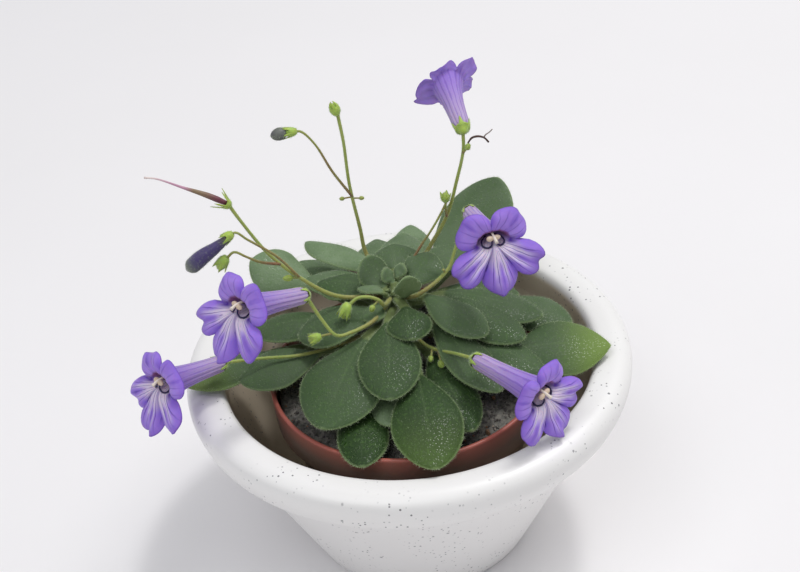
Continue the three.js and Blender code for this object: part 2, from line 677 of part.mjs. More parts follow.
function soil() {
  const around = 26;
  const low = nurseryBottom + NURSERY_WALL + GAP;
  const lowRadius = NURSERY_FOOT_RADIUS - NURSERY_WALL - GAP;
  const topRadius = NURSERY_RADIUS - NURSERY_WALL - 0.9;
  const rings = [
    [lowRadius, low, false], [bodyRadius - 2, collarBottom - 1.5, false],
    [topRadius - 0.2, collarBottom + 2.5, false], [topRadius, SOIL_TOP, false], [29, SOIL_TOP, true],
    [22, SOIL_TOP, true], [14, SOIL_TOP, true], [7, SOIL_TOP, true],
  ];
  const points = rings.map(([radius, height, rough]) =>
    Array.from({ length: around }, (_, k) => {
      const turn = (2 * Math.PI * k) / around;
      const x = NURSERY_PLACE.x + radius * Math.cos(turn);
      const y = NURSERY_PLACE.y + radius * Math.sin(turn);
      const mound = rough ? SOIL_MOUND * (1 - radius / topRadius) + lump(x, y) : 0;
      return new THREE.Vector3(x, y, height + mound);
    }),
  );
  const middle = (height) => new THREE.Vector3(NURSERY_PLACE.x, NURSERY_PLACE.y, height);
  const filling = skin(middle(low), points, middle(SOIL_TOP + SOIL_MOUND));
  const holeRadius = STEM_RADIUS + 1;
  const holeBottom = STEM_BOTTOM - GAP;
  const hole = turned([[0, holeBottom], [holeRadius, holeBottom], [holeRadius, 70], [0, 70]], 16);
  hole.translate(STEM.x, STEM.y, 0);
  return largest(filling.subtract(solid(hole)));
}

// The short stem, ringed where old leaves have dropped, with the tiniest leaves on top.
function stem(grow = 0) {
  const profile = [
    [0, STEM_BOTTOM - grow], [STEM_RADIUS + grow, STEM_BOTTOM - grow], [STEM_RADIUS + grow, 58],
    [STEM_RADIUS - 0.4 + grow, 62], [STEM_RADIUS + grow, 66], [STEM_RADIUS - 0.4 + grow, 70],
    [STEM_RADIUS - 0.3 + grow, 74], [1.8 + grow, STEM_TOP - 0.5 + grow], [0, STEM_TOP + grow],
  ];
  const core = solid(turned(profile, 12).translate(STEM.x, STEM.y, 0));
  return joined([core, ...BUDDING_LEAVES.map((shape) => leaf({ ...shape, rows: BUDDING_ROWS }, grow))]);
}

// A stalk with its branches, cups and green buds, as one body.
function scape({ name, lines }, grow = 0) {
  const parts = lines.map((line, i) => stalk(line, (i === 0 ? SCAPE_RADIUS : PEDICEL_RADIUS) + grow));
  for (const bud of GREEN_BUDS[name] ?? []) parts.push(egg(bud, grow));
  for (const one of CUPS[name] ?? []) parts.push(cup(one));
  return joined(parts);
}

// The dark violet bud on the left, the small dark one at the back, the long fruit and the dried style.
const VIOLET_BUD = [[-42.6, -2.2, 100.2], [-45.5, -2.5, 98.6], [-49, -2.8, 96], [-52.5, -3, 93.2]];
const VIOLET_BUD_RADII = [1.3, 1.9, 2.6, 2.4];
const BACK_BUD = { at: [-27.2, 16, 119], toward: [-1, -0.2, -0.1], length: 4.2, width: 3.3 };
const FRUIT = [[-41.8, 4.1, 107.6], [-46, 4.4, 110.6], [-52, 5, 113.4], [-58, 5.7, 115.3], [-61, 6, 115.8]];
const FRUIT_RADII = [1, 1, 0.65, 0.5, 0.45];
const DRIED_STYLE = [
  [20.9, 19.5, 109.3], [22, 19.5, 110.7], [23.6, 19.5, 110.2], [26.1, 19.5, 109], [27.3, 19.5, 112.4],
];

// A stalk whose thickness changes along it: a chain of short tapering lengths.
function tapered(points, radii, grow = 0) {
  const sides = 7;
  const path = new THREE.CatmullRomCurve3(points.map(vec));
  const stops = 2 * (points.length - 1);
  const rings = [];
  for (let i = 0; i <= stops; i++) {
    const at = i / stops;
    const here = (at * (radii.length - 1)) | 0;
    const next = Math.min(here + 1, radii.length - 1);
    const radius = THREE.MathUtils.lerp(radii[here], radii[next], at * (radii.length - 1) - here);
    rings.push({ middle: path.getPoint(at), along: path.getTangent(at), radius: radius + grow });
  }
  const sections = rings.map(({ middle, along, radius }) => {
    const side = new THREE.Vector3(0, 1, 0).cross(along).normalize();
    const up = new THREE.Vector3().crossVectors(along, side);
    return Array.from({ length: sides }, (_, k) => {
      const turn = (2 * Math.PI * k) / sides;
      const across = side.clone().multiplyScalar(radius * Math.cos(turn));
      return middle.clone().add(across).addScaledVector(up, radius * Math.sin(turn));
    });
  });
  const first = rings[0].middle.clone().addScaledVector(rings[0].along, -rings[0].radius * 0.6);
  const last = rings[stops].middle.clone().addScaledVector(rings[stops].along, rings[stops].radius * 0.6);
  return skin(first, sections, last);
}

// Everything in order: what comes first keeps its whole shape, and what comes later makes room.
const plant = new THREE.Group();
plant.name = "potted_primulina";

function put(name, body, finish) {
  const mesh = new THREE.Mesh(geometryOf(body), finish());
  mesh.name = name;
  plant.add(mesh);
}

put("outer_pot", outerPot(), FINISH.white_plastic);
put("nursery_pot", nurseryPot(), FINISH.brown_plastic);
put("soil", soil(), FINISH.soil);

for (const flower of FLOWERS) {
  put(flower.name + "_corolla", onFlower(corolla(flower), flower), FINISH.corolla);
}
for (const flower of FLOWERS) {
  put(flower.name + "_stamens", onFlower(stamens(flower), flower), FINISH.anther);
}

const loose = [
  ["bud_violet_left", (grow) => tapered(VIOLET_BUD, VIOLET_BUD_RADII, grow), FINISH.dark_bud],
  ["bud_dark_back", (grow) => egg(BACK_BUD, grow), FINISH.dark_bud],
  ["fruit_left", (grow) => tapered(FRUIT, FRUIT_RADII, grow), FINISH.fruit],
  ["dried_style", (grow) => stalk(DRIED_STYLE, 0.45 + grow), FINISH.dried],
  ["stem", (grow) => stem(grow), FINISH.leaf],
];
for (const [name, made, finish] of loose) put(name, made(0), finish);

const taken = loose.map(([, made]) => made(GAP));
for (const one of SCAPES) {
  const flower = FLOWERS.find(({ name }) => one.name === name.replace("flower_", "flower_stalk_"));
  const cups = flower ? [onFlower(calyx(), flower)] : [];
  const rooms = flower ? [onFlower(tubeRoom(flower), flower)] : [];
  put(one.name, clearOf(joined([scape(one), ...cups]), [...taken, ...rooms]), FINISH.stalk);
  taken.push(joined([scape(one, GAP), ...cups]));
}
for (const shape of LEAVES) {
  put(shape.name, clearOf(leaf(shape), taken), FINISH.leaf);
  taken.push(leaf(shape, GAP));
}

export default plant;
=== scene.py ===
# %% [markdown]
# # A potted primulina in flower, dressed in Blender
# The plant is a low rosette of round, hairy leaves with five violet flowers on thin stalks. It
# grows in a brown nursery pot that stands inside a white pot with a rolled rim. The solids come
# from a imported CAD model. This lesson puts a finer piece over each of them, at the same place.

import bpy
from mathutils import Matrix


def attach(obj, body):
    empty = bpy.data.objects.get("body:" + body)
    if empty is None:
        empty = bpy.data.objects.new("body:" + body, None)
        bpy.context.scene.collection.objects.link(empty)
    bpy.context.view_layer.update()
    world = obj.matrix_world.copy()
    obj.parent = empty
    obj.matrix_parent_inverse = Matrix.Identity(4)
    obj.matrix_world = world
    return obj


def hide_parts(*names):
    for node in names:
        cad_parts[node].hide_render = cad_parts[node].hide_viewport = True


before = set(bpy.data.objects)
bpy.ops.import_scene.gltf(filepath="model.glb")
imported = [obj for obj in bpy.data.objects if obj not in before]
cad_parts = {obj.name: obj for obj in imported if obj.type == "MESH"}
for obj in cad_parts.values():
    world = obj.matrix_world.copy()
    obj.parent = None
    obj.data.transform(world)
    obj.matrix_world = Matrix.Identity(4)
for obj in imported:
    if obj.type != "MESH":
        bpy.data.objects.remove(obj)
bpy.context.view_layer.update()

# %% [markdown]
# ## Camera
# The picture was taken from the front, 35 degrees above the table, with the camera tipped a little
# to one side. The place comes from the ellipses of the two pot rims: they fix how far away the
# camera is and how it leans. It is the first thing made, so that every later piece can be looked at.

# %% Place the camera
import math

import bmesh
import bpy
import numpy as np
from mathutils import Matrix, Vector, noise

MM = 0.001
CAMERA_HEIGHT_ANGLE = math.radians(35)
CAMERA_TIP = math.radians(-5.5)
CAMERA_PLACE = Vector((-0.000244, -0.277688, 0.274278))

ahead = Vector((0, math.cos(CAMERA_HEIGHT_ANGLE), -math.sin(CAMERA_HEIGHT_ANGLE)))
level = Vector((1, 0, 0))
above = level.cross(ahead)
right = math.cos(CAMERA_TIP) * level + math.sin(CAMERA_TIP) * above
upward = math.cos(CAMERA_TIP) * above - math.sin(CAMERA_TIP) * level
camera = bpy.data.objects.new("camera", bpy.data.cameras.new("camera"))
bpy.context.scene.collection.objects.link(camera)
camera.matrix_world = Matrix.Translation(CAMERA_PLACE) @ Matrix((right, upward, -ahead)).transposed().to_4x4()
camera.data.lens = 58.5
camera.data.sensor_width = 36
camera.data.clip_start = 0.01
bpy.context.scene.camera = camera
print("camera", [round(c, 3) for c in camera.location])

# %% [markdown]
# ## Light and table
# The light is soft: a bright room, and a broad window above the plant on each side. They leave the
# front of the white pot in a grey shade and a faint shadow at the lower left. A small lamp on the
# ceiling, a little behind the plant, gives the leaves their glints.

# %% Light the scene
scene = bpy.context.scene
scene.view_settings.view_transform = "Standard"
world = bpy.data.worlds.new("room")
world.use_nodes = True
world.node_tree.nodes["Background"].inputs["Color"].default_value = (0.93, 0.95, 1, 1)
world.node_tree.nodes["Background"].inputs["Strength"].default_value = 0.4
scene.world = world


def window(name, place, size, watts, colour):
    """A broad soft light at a place in metres, turned to the middle of the plant."""
    lamp = bpy.data.lights.new(name, "AREA")
    lamp.size = size
    lamp.energy = watts
    lamp.color = colour
    thing = bpy.data.objects.new(name, lamp)
    scene.collection.objects.link(thing)
    thing.location = place
    thing.rotation_euler = (Vector((0, 0, 0.06)) - Vector(place)).to_track_quat("-Z", "Y").to_euler()


window("window_right", (0.7, 0.3, 1.5), 0.9, 7.5, (1, 0.98, 0.96))
window("window_left", (-0.45, -0.6, 1.5), 1.0, 7, (0.97, 0.98, 1))
window("ceiling_lamp", (0.42, 0.35, 1.25), 0.16, 4, (1, 1, 1))
print("two windows, a lamp and a bright room")

# %% [markdown]
# ## Paint box
# Every finish is a small node tree on one Principled shader. This class adds a node in one line and
# gives back its output, so that a finish reads like a recipe: values go in, colours come out.
# Patterns read the object's own coordinates or values stored on its points.

# %% Make the paint box
def rgb(red, green, blue):
    """A colour as it looks on a screen, from 0 to 255, made linear for the shader."""
    linear = [c / 255 / 12.92 if c <= 10 else ((c / 255 + 0.055) / 1.055) ** 2.4 for c in (red, green, blue)]
    return (*linear, 1)


def add_node(tree, kind, inputs, **settings):
    """Adds a node. An input is either a value or the output of another node. Gives its outputs."""
    made = tree.nodes.new(kind)
    for key, value in settings.items():
        setattr(made, key, value)
    for key, value in inputs.items():
        if isinstance(value, bpy.types.NodeSocket):
            tree.links.new(value, made.inputs[key])
        else:
            made.inputs[key].default_value = value
    return made.outputs


class Finish:
    """A procedural material. Each method adds one node and returns its output."""

    def __init__(self, name, **constants):
        self.material = bpy.data.materials.new(name)
        self.material.use_nodes = True
        self.tree = self.material.node_tree
        self.shader = self.tree.nodes["Principled BSDF"]
        for name, value in constants.items():
            self.shader.inputs[name.replace("_", " ").title().replace("Ior", "IOR")].default_value = value

    def node(self, kind, inputs, output=0, **settings):
        return add_node(self.tree, kind, inputs, **settings)[output]

    def value(self, name):
        return self.node("ShaderNodeAttribute", {}, "Fac", attribute_name=name)

    def maths(self, operation, first, second=0.0):
        return self.node("ShaderNodeMath", {0: first, 1: second}, operation=operation)

    def fade(self, value, low, high, start=0.0, end=1.0):
        """Goes smoothly from start to end while value goes from low to high."""
        sockets = {"Value": value, "From Min": low, "From Max": high, "To Min": start, "To Max": end}
        return self.node("ShaderNodeMapRange", sockets, interpolation_type="SMOOTHSTEP")

    def blend(self, share, first, second):
        return self.node("ShaderNodeMix", {0: share, 6: first, 7: second}, 2, data_type="RGBA")

    def place(self, stretch=(1, 1, 1)):
        spot = self.node("ShaderNodeTexCoord", {}, "Object")
        return self.node("ShaderNodeMapping", {"Vector": spot, "Scale": stretch})

    def noise(self, scale, detail=2.0, where=None, output="Fac"):
        sockets = {"Vector": where or self.place(), "Scale": scale, "Detail": detail}
        return self.node("ShaderNodeTexNoise", sockets, output)

    def cells(self, scale, where=None, output="Distance"):
        sockets = {"Vector": where or self.place(), "Scale": scale}
        return self.node("ShaderNodeTexVoronoi", sockets, output)

    def bump(self, height, strength, distance, under=None):
        sockets = {"Height": height, "Strength": strength, "Distance": distance}
        if under:
            sockets["Normal"] = under
        return self.node("ShaderNodeBump", sockets)

    def end(self, **links):
        for name, value in links.items():
            self.tree.links.new(value, self.shader.inputs[name.replace("_", " ").title()])
        return self.material


print("paint box ready")

# %% [markdown]
# ## Shaping tools
# Most pieces are skins over rings of points: a pot, a leaf, a stalk and a petal tube all are. The
# curve is the same centripetal Catmull-Rom spline as in the CAD model, so that a leaf drawn here
# follows the CAD model's leaf. All sizes are in millimetres until the mesh is made.

# %% Make the shaping tools
def array(*values):
    return np.array(values, float)


def unit(vector):
    return vector / (np.linalg.norm(vector) + 1e-12)


def lerp(a, b, share):
    return a + (b - a) * share


def curve_point(points, at):
    """A point of the centripetal Catmull-Rom curve through points, at from 0 to 1."""
    last = len(points) - 1
    k = min(int(at * last), last - 1)
    weight = at * last - k
    before = points[k - 1] if k > 0 else 2 * points[0] - points[1]
    after = points[k + 2] if k + 2 <= last else 2 * points[last] - points[last - 1]
    p0, p1, p2, p3 = before, points[k], points[k + 1], after
    d0, d1, d2 = [max(np.sum((b - a) ** 2), 1e-8) ** 0.25 for a, b in ((p0, p1), (p1, p2), (p2, p3))]
    t1 = ((p1 - p0) / d0 - (p2 - p0) / (d0 + d1) + (p2 - p1) / d1) * d1
    t2 = ((p2 - p1) / d1 - (p3 - p1) / (d1 + d2) + (p3 - p2) / d2) * d1
    c2, c3 = -3 * p1 + 3 * p2 - 2 * t1 - t2, 2 * p1 - 2 * p2 + t1 + t2
    return p1 + t1 * weight + c2 * weight**2 + c3 * weight**3


def curve_way(points, at):
    return unit(curve_point(points, min(at + 1e-4, 1)) - curve_point(points, max(at - 1e-4, 0)))


def turned_about(vector, axis, angle):
    """A vector turned about a unit axis by an angle in radians."""
    turned = vector * math.cos(angle) + np.cross(axis, vector) * math.sin(angle)
    return turned + axis * np.dot(axis, vector) * (1 - math.cos(angle))


class Skin:
    """Collects closed bodies made of rings of points, and the values stored on the points."""

    def __init__(self):
        self.points = []
        self.faces = []
        self.values = {}
        self.slots = []

    def add(self, rings, slot=0, **values):
        """Joins rings into one closed body. Each value is one number, or one for each ring, or one
        for each point of each ring."""
        rings = np.array(rings, float)
        count, around = rings.shape[:2]
        start = sum(len(part) for part in self.points)
        self.points.append(np.vstack([rings[0].mean(0), rings.reshape(-1, 3), rings[-1].mean(0)]))
        k = np.arange(around)
        beside = (k + 1) % around
        for ring in range(count - 1):
            a, b = start + 1 + ring * around, start + 1 + (ring + 1) * around
            self.faces += np.stack([a + k, a + beside, b + beside, b + k], 1).tolist()
        low, high, end = start + 1, start + 1 + (count - 1) * around, start + 1 + count * around
        self.faces += [[start, low + int(j), low + int(i)] for i, j in zip(k, beside)]
        self.faces += [[high + int(i), high + int(j), end] for i, j in zip(k, beside)]
        self.slots += [slot] * ((count - 1) * around + 2 * around)
        for name in set(self.values) | set(values):
            value = np.asarray(values.get(name, 0.0), float)
            if value.ndim == 1:
                value = value[:, None]
            grid = np.broadcast_to(value, (count, around))
            column = np.concatenate([[grid[0].mean()], grid.ravel(), [grid[-1].mean()]])
            self.values.setdefault(name, [np.zeros(start)] if start else []).append(column)

    def piece(self, name, finishes):
        """The mesh object, in metres, with its faces turned outwards."""
        mesh = bpy.data.meshes.new(name)
        mesh.from_pydata((np.vstack(self.points) * MM).tolist(), [], self.faces)
        for finish in finishes:
            mesh.materials.append(finish)
        mesh.polygons.foreach_set("material_index", self.slots)
        mesh.polygons.foreach_set("use_smooth", [True] * len(self.faces))
        for label, columns in self.values.items():
            layer = mesh.attributes.new(label, "FLOAT", "POINT")
            layer.data.foreach_set("value", np.concatenate(columns).astype(np.float32))
        shape = bmesh.new()
        shape.from_mesh(mesh)
        bmesh.ops.recalc_face_normals(shape, faces=shape.faces)
        shape.to_mesh(mesh)
        shape.free()
        thing = bpy.data.objects.new(name, mesh)
        scene.collection.objects.link(thing)
        return thing


def tube_rings(points, radii, sides=10, steps=6):
    """Rings along a curve. The radii are spread evenly over its length."""
    points = [array(*p) for p in points]
    stops = np.linspace(0, 1, steps * (len(points) - 1) + 1)
    sizes = np.interp(stops, np.linspace(0, 1, len(radii)), radii)
    side = np.cross(curve_way(points, 0), (0.3, 0.2, 1))
    rings = []
    for at, radius in zip(stops, sizes):
        way = curve_way(points, at)
        side = unit(side - way * np.dot(side, way))
        up = np.cross(way, side)
        turns = np.linspace(0, 2 * math.pi, sides, endpoint=False)
        middle = curve_point(points, at)
        rings.append([middle + radius * (side * math.cos(t) + up * math.sin(t)) for t in turns])
    return rings


def lathe_rings(profile, segments):
    turns = np.linspace(0, 2 * math.pi, segments, endpoint=False)
    return [[(r * math.cos(t), r * math.sin(t), z) for t in turns] for r, z in profile]


def rounded(profile, steps):
    """A profile of radius and height, with a smooth curve through its points."""
    flat = [array(r, 0, z) for r, z in profile]
    stops = np.linspace(0, 1, steps * (len(flat) - 1) + 1)
    return [(p[0], p[2]) for p in (curve_point(flat, at) for at in stops)]


def kept(piece, slot, *nodes):
    """Attaches a finished piece to the root body and hides the CAD nodes that it stands for. slot is not
    used.
    """
    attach(piece, "root")
    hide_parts(*nodes)
    print(piece.name, len(piece.data.polygons), "faces")


print("shaping tools ready")

# %% [markdown]
# ## Short hairs
# Leaves, stalks, buds and flower tubes of this plant are covered with short white hairs, which give
# the leaves their pale edges and velvet look. There are tens of thousands, so a Geometry Nodes tree
# grows them: it scatters points over a skin, more of them where the skin's own value "hairs" is
# high, and sets a thin three-sided spike on each point, leaning a little to one side.

# %% Build the hair tree
PER_MM2 = 1e6  # spots per square metre in one per square millimetre


def scattering(name, skin, per_mm2, kinds):
    """Starts a tree with named inputs that scatters points over its skin."""
    tree = bpy.data.node_groups.new(name, "GeometryNodeTree")
    sockets = {}
    for label, kind in kinds.items():
        new = tree.interface.new_socket(name=label, in_out="INPUT", socket_type="NodeSocket" + kind)
        sockets[label] = new.identifier
    tree.interface.new_socket(name=skin, in_out="OUTPUT", socket_type="NodeSocketGeometry")
    given = add_node(tree, "NodeGroupInput", {})
    weight = add_node(tree, "GeometryNodeInputNamedAttribute", {"Name": "hairs"})
    per_metre = add_node(tree, "ShaderNodeMath", {0: given[per_mm2], 1: PER_MM2}, operation="MULTIPLY")
    density = add_node(tree, "ShaderNodeMath", {0: weight[0], 1: per_metre[0]}, operation="MULTIPLY")
    where = {"Mesh": given[skin], "Density": density[0], "Seed": given["Seed"]}
    return tree, sockets, given, add_node(tree, "GeometryNodeDistributePointsOnFaces", where)


def set_out(tree, given, skin, placing):
    """Ends a scattering tree: places the instances, makes them real and joins them to the skin."""
    set_on = add_node(tree, "GeometryNodeInstanceOnPoints", placing)
    real = add_node(tree, "GeometryNodeRealizeInstances", {0: set_on[0]})
    painted = add_node(tree, "GeometryNodeSetMaterial", {"Geometry": real[0], "Material": given["Finish"]})
    both = tree.nodes.new("GeometryNodeJoinGeometry")
    tree.links.new(painted[0], both.inputs[0])
    tree.links.new(given[skin], both.inputs[0])
    add_node(tree, "NodeGroupOutput", {0: both.outputs[0]})


def hair_tree():
    tree, sockets, given, spots = scattering("short_hairs", "Skin", "Hairs per mm2", {
        "Skin": "Geometry", "Hairs per mm2": "Float", "Length": "Float", "Thickness": "Float",
        "Lean": "Float", "Seed": "Int", "Finish": "Material",
    })
    swing = add_node(tree, "FunctionNodeRandomValue", {0: (-1, -1, -1)}, data_type="FLOAT_VECTOR")
    lean = add_node(tree, "ShaderNodeVectorMath", {0: swing[0], "Scale": given["Lean"]}, operation="SCALE")
    way = add_node(tree, "ShaderNodeVectorMath", {0: spots["Normal"], 1: lean[0]})
    aim = add_node(tree, "FunctionNodeAlignRotationToVector", {"Vector": way[0]})
    spike = add_node(tree, "GeometryNodeMeshCone", {"Vertices": 3, "Radius Bottom": 1, "Depth": 1})
    vary = add_node(tree, "FunctionNodeRandomValue", {2: 0.5, 3: 1.15})
    long = add_node(tree, "ShaderNodeMath", {0: given["Length"], 1: vary[1]}, operation="MULTIPLY")
    size = add_node(tree, "ShaderNodeCombineXYZ", {0: given["Thickness"], 1: given["Thickness"], 2: long[0]})
    placing = {"Points": spots["Points"], "Instance": spike["Mesh"], "Rotation": aim[0], "Scale": size[0]}
    set_out(tree, given, "Skin", placing)
    return tree, sockets


HAIRS, HAIR_SOCKETS = hair_tree()


def as_mesh(piece):
    """Turns a piece with a modifier into a plain mesh and takes the modifier off."""
    made = bpy.data.meshes.new_from_object(piece.evaluated_get(bpy.context.evaluated_depsgraph_get()))
    made.name = piece.name
    piece.modifiers.clear()
    piece.data = made


def run_tree(piece, label, tree, sockets, chosen):
    """Runs a tree on a piece, with inputs given by name, and keeps the mesh that it makes."""
    modifier = piece.modifiers.new(label, "NODES")
    modifier.node_group = tree
    for name, value in chosen.items():
        modifier[sockets[name]] = value
    as_mesh(piece)


def grow_hairs(piece, finish, per_mm2, length, seed, lean=0.6, thickness=0.022):
    """Hairs of a length and thickness in millimetres."""
    run_tree(piece, "hairs", HAIRS, HAIR_SOCKETS, {
        "Hairs per mm2": per_mm2, "Length": length * MM, "Thickness": thickness * MM, "Lean": lean,
        "Seed": seed, "Finish": finish,
    })


WHITE_HAIR = Finish("white_hair", base_color=rgb(196, 212, 172), roughness=0.5).end()
print("hair tree with", len(HAIRS.nodes), "nodes")

# %% [markdown]
# ## The white pot
# A plastic pot cover, turned on a lathe: a cone with a broad rolled rim whose lip curls in under
# itself. The skin here has the CAD profile with a smooth curve through the rim. White plastic of
# this kind has tiny dark flecks of many sizes, so the finish scatters cells and darkens the
# middle of the few that a second value picks out. The wall inside, which the value "inside" marks,
# is beige: partly a tint of its own and partly painted shade, darker on the left.

# %% Turn the white pot
POT_RIM = [
    (53.6, 48.6), (53.9, 50.2), (54.6, 50.5), (55.1, 49.1), (55.9, 48.7), (58.4, 50.2), (59.7, 53.2),
    (60, 56.2), (59.1, 58.6), (56.7, 59.95), (53.4, 59.9), (50.9, 59.2), (49.8, 57.4),
    (49.5, 54.5), (49.4, 50),
]


def white_plastic():
    paint = Finish("white_plastic", roughness=0.38, coat_weight=0.15, coat_roughness=0.25)
    grit, crowd = paint.noise(900, 3), paint.fade(paint.noise(70, 2), 0.42, 0.62)
    flecks = []
    for scale, size, share in ((170, 0.1, 0.6), (420, 0.18, 0.5), (800, 0.25, 0.4)):
        bent = paint.node("ShaderNodeVectorMath", {0: paint.place(), 1: (0.37 * scale, 0, 0)})
        distance = paint.cells(scale, bent)
        ragged = paint.maths("ADD", distance, paint.maths("MULTIPLY", grit, 0.16))
        picked = paint.node("ShaderNodeSeparateColor", {"Color": paint.cells(scale, bent, "Color")})
        chance = paint.fade(picked, share, share + 0.4, 0, 0.9)
        spot = paint.fade(ragged, size, size + 0.07, 1, 0)
        flecks.append(paint.maths("MULTIPLY", spot, chance))
    small = paint.maths("MULTIPLY", crowd, paint.maths("MAXIMUM", flecks[1], flecks[2]))
    fleck = paint.maths("MAXIMUM", flecks[0], small)
    tint = paint.blend(paint.noise(90), rgb(66, 76, 92), rgb(110, 104, 100))
    white = paint.blend(paint.noise(35, 4), rgb(243, 241, 238), rgb(249, 248, 246))
    # Inner wall: a beige tint of its own with random darker patches, plus painted shade that makes it darker
    # on the left
    across = paint.node("ShaderNodeSeparateXYZ", {0: paint.place()}, "X")
    tint_and_painted_shade = paint.blend(paint.fade(across, -0.02, 0.035), rgb(206, 193, 172), rgb(224, 214, 192))
    tint_and_painted_shade = paint.blend(paint.fade(paint.noise(40, 3), 0.3, 0.8, 0, 0.5), tint_and_painted_shade, rgb(176, 162, 138))
    white = paint.blend(paint.value("inside"), white, tint_and_painted_shade)
    colour = paint.blend(fleck, white, tint)
    normal = paint.bump(paint.noise(1500, 2), 0.05, 0.0003)
    return paint.end(base_color=colour, normal=normal)


pot = Skin()
foot = [(0.5, 0), (31.4, 0), (31.9, 0.15), (32.3, 0.7)]
wall = [(lerp(32.3, 53.6, s), lerp(0.7, 48.6, s)) for s in np.linspace(0.08, 0.98, 12)]
inside = [(lerp(49.4, 29.8, s), lerp(50, 2.4, s)) for s in np.linspace(0.1, 1, 8)]
rim = [(min(r, 59.99), z) for r, z in rounded(POT_RIM, 4)]
pot_profile = foot + wall + rim + inside + [(0.5, 2.4)]
beyond = len(pot_profile) / 2  # points after this one are inside, once the radius is small
# inside is 1 on the inner wall below the rim, which gets the beige tint and the painted shade
inside_tint_and_shade = [np.interp(z, [56.8, 58], [1, 0]) * (k > beyond and r < 51) for k, (r, z) in enumerate(pot_profile)]
pot.add(lathe_rings(pot_profile, 160), inside=inside_tint_and_shade)
white_pot = pot.piece("white_pot", [white_plastic()])
kept(white_pot, "white_plastic", "outer_pot")

# %% [markdown]
# ## The nursery pot
# The thin brown pot that the plant was grown in stands near the front of the white one. Its rim is
# a straight collar, a centimetre high. Its top edge is painted a lighter red: a painted glow for the
# light that thin plastic like this lets through. The value "rim" is 1 on that edge and fades below it.

# %% Turn the nursery pot
def brown_plastic():
    paint = Finish("brown_plastic", roughness=0.42, subsurface_weight=0.12, subsurface_scale=0.004)
    smear = paint.noise(60, 5, paint.place((1, 1, 0.4)))
    colour = paint.blend(paint.fade(smear, 0.35, 0.7), rgb(122, 94, 86), rgb(110, 94, 86))
    # painted light: the top edge is painted a lighter red, a painted glow
    colour = paint.blend(paint.value("rim"), colour, rgb(168, 94, 80))
    dust = paint.fade(paint.noise(240, 4), 0.62, 0.8, 0, 0.25)
    colour = paint.blend(dust, colour, rgb(130, 112, 98))
    normal = paint.bump(paint.noise(500, 3), 0.08, 0.0004)
    return paint.end(base_color=colour, normal=normal)


NURSERY_PLACE = array(-0.5, -8.2, 0)
nursery = Skin()
nursery_profile = [
    (0.5, 2.7), (20.4, 2.7), (20.8, 3.1), (27.6, 26), (34.2, 48.7), (34.5, 48.9), (35.7, 49.2), (35.95, 49.6),
    (36.2, 54), (36.35, 58.8), (36.3, 59.3), (36, 59.5), (35.5, 59.5), (35.25, 59.3), (35.2, 58.8),
    (35, 54), (34.7, 50.6), (33.1, 49.2), (26.4, 26), (19.6, 3.9), (0.5, 3.9),
]
painted_rim_glow = np.interp([z for r, z in nursery_profile], [58, 59.2], [0, 1])
nursery.add(np.array(lathe_rings(nursery_profile, 144)) + NURSERY_PLACE, rim=painted_rim_glow)
brown_pot = nursery.piece("brown_pot", [brown_plastic()])
kept(brown_pot, "brown_plastic", "nursery_pot")

# %% [markdown]
# ## Soil
# Dark peat fills the brown pot to a few millimetres below its rim. A mound with small waves gives
# the ground, and a second Geometry Nodes tree strews crumbs over it: dark peat, some tan bits of
# bark and a few pale grains, each a rough stone of twenty faces, turned and sized at random.

# %% Heap the soil
SOIL_TOP, SOIL_MOUND, SOIL_EDGE = 55.0, 1.6, 34.3
STEM = array(-2, 6)


def ground(x, y):
    """Height of the soil: the CAD's mound and waves, with finer crumbs on them."""
    radius = math.hypot(x - NURSERY_PLACE[0], y - NURSERY_PLACE[1])
    waves = 0.5 * math.sin(0.9 * x + 1.3) * math.cos(0.7 * y) + 0.35 * math.sin(1.9 * x - 1.1 * y)
    waves += 0.25 * math.cos(2.7 * y + x)
    fine = 0.5 * noise.noise((x * 0.8, y * 0.8, 3)) + 0.35 * noise.noise((x * 2, y * 2, 9))
    settle = min(1, (SOIL_EDGE - radius) / 4) if radius < SOIL_EDGE else 0
    return SOIL_TOP + settle * (waves + fine) + SOIL_MOUND * (1 - radius / SOIL_EDGE)


def peat():
    paint = Finish("peat", roughness=0.95, specular_ior_level=0.25)
    mixed = paint.blend(paint.fade(paint.noise(600, 5), 0.35, 0.7), rgb(104, 104, 98), rgb(136, 132, 124))
    colour = paint.blend(paint.fade(paint.noise(1500, 2), 0.6, 0.75, 0, 0.6), mixed, rgb(132, 120, 110))
    rough = paint.bump(paint.noise(900, 6), 0.9, 0.0012)
    return paint.end(base_color=colour, normal=rough)


def crumb_paint(name, dark, light):
    paint = Finish(name, roughness=0.9)
    colour = paint.blend(paint.noise(900, 3), dark, light)
    return paint.end(base_color=colour, normal=paint.bump(paint.noise(2500, 3), 0.6, 0.0004))


heap = Skin()
around = 120
turns = np.linspace(0, 2 * math.pi, around, endpoint=False)
soil_rings = np.array(lathe_rings([(19.2, 4.2), (26, 26), (32.3, 47.8), (34.1, 52)], around)) + NURSERY_PLACE
shares = np.linspace(0, 1, 30)
radii = [lerp(SOIL_EDGE, 1, share) for share in shares]
spots = [[NURSERY_PLACE[:2] + (r * math.cos(t), r * math.sin(t)) for t in turns] for r in radii]
soil_rings = [*soil_rings, *([(x, y, ground(x, y)) for x, y in ring] for ring in spots)]
crumbs = np.concatenate([[0] * 5, np.ones(len(radii) - 1)])
heap.add(soil_rings, hairs=crumbs)
soil = heap.piece("soil_in_pot", [peat()])
print("soil top about", SOIL_TOP, "mm")

# %% [markdown]
# The crumb tree works like the hair tree: it scatters spots over the ground and sets a stone on
# each. It runs three times, once for each kind of crumb, with its own seed.

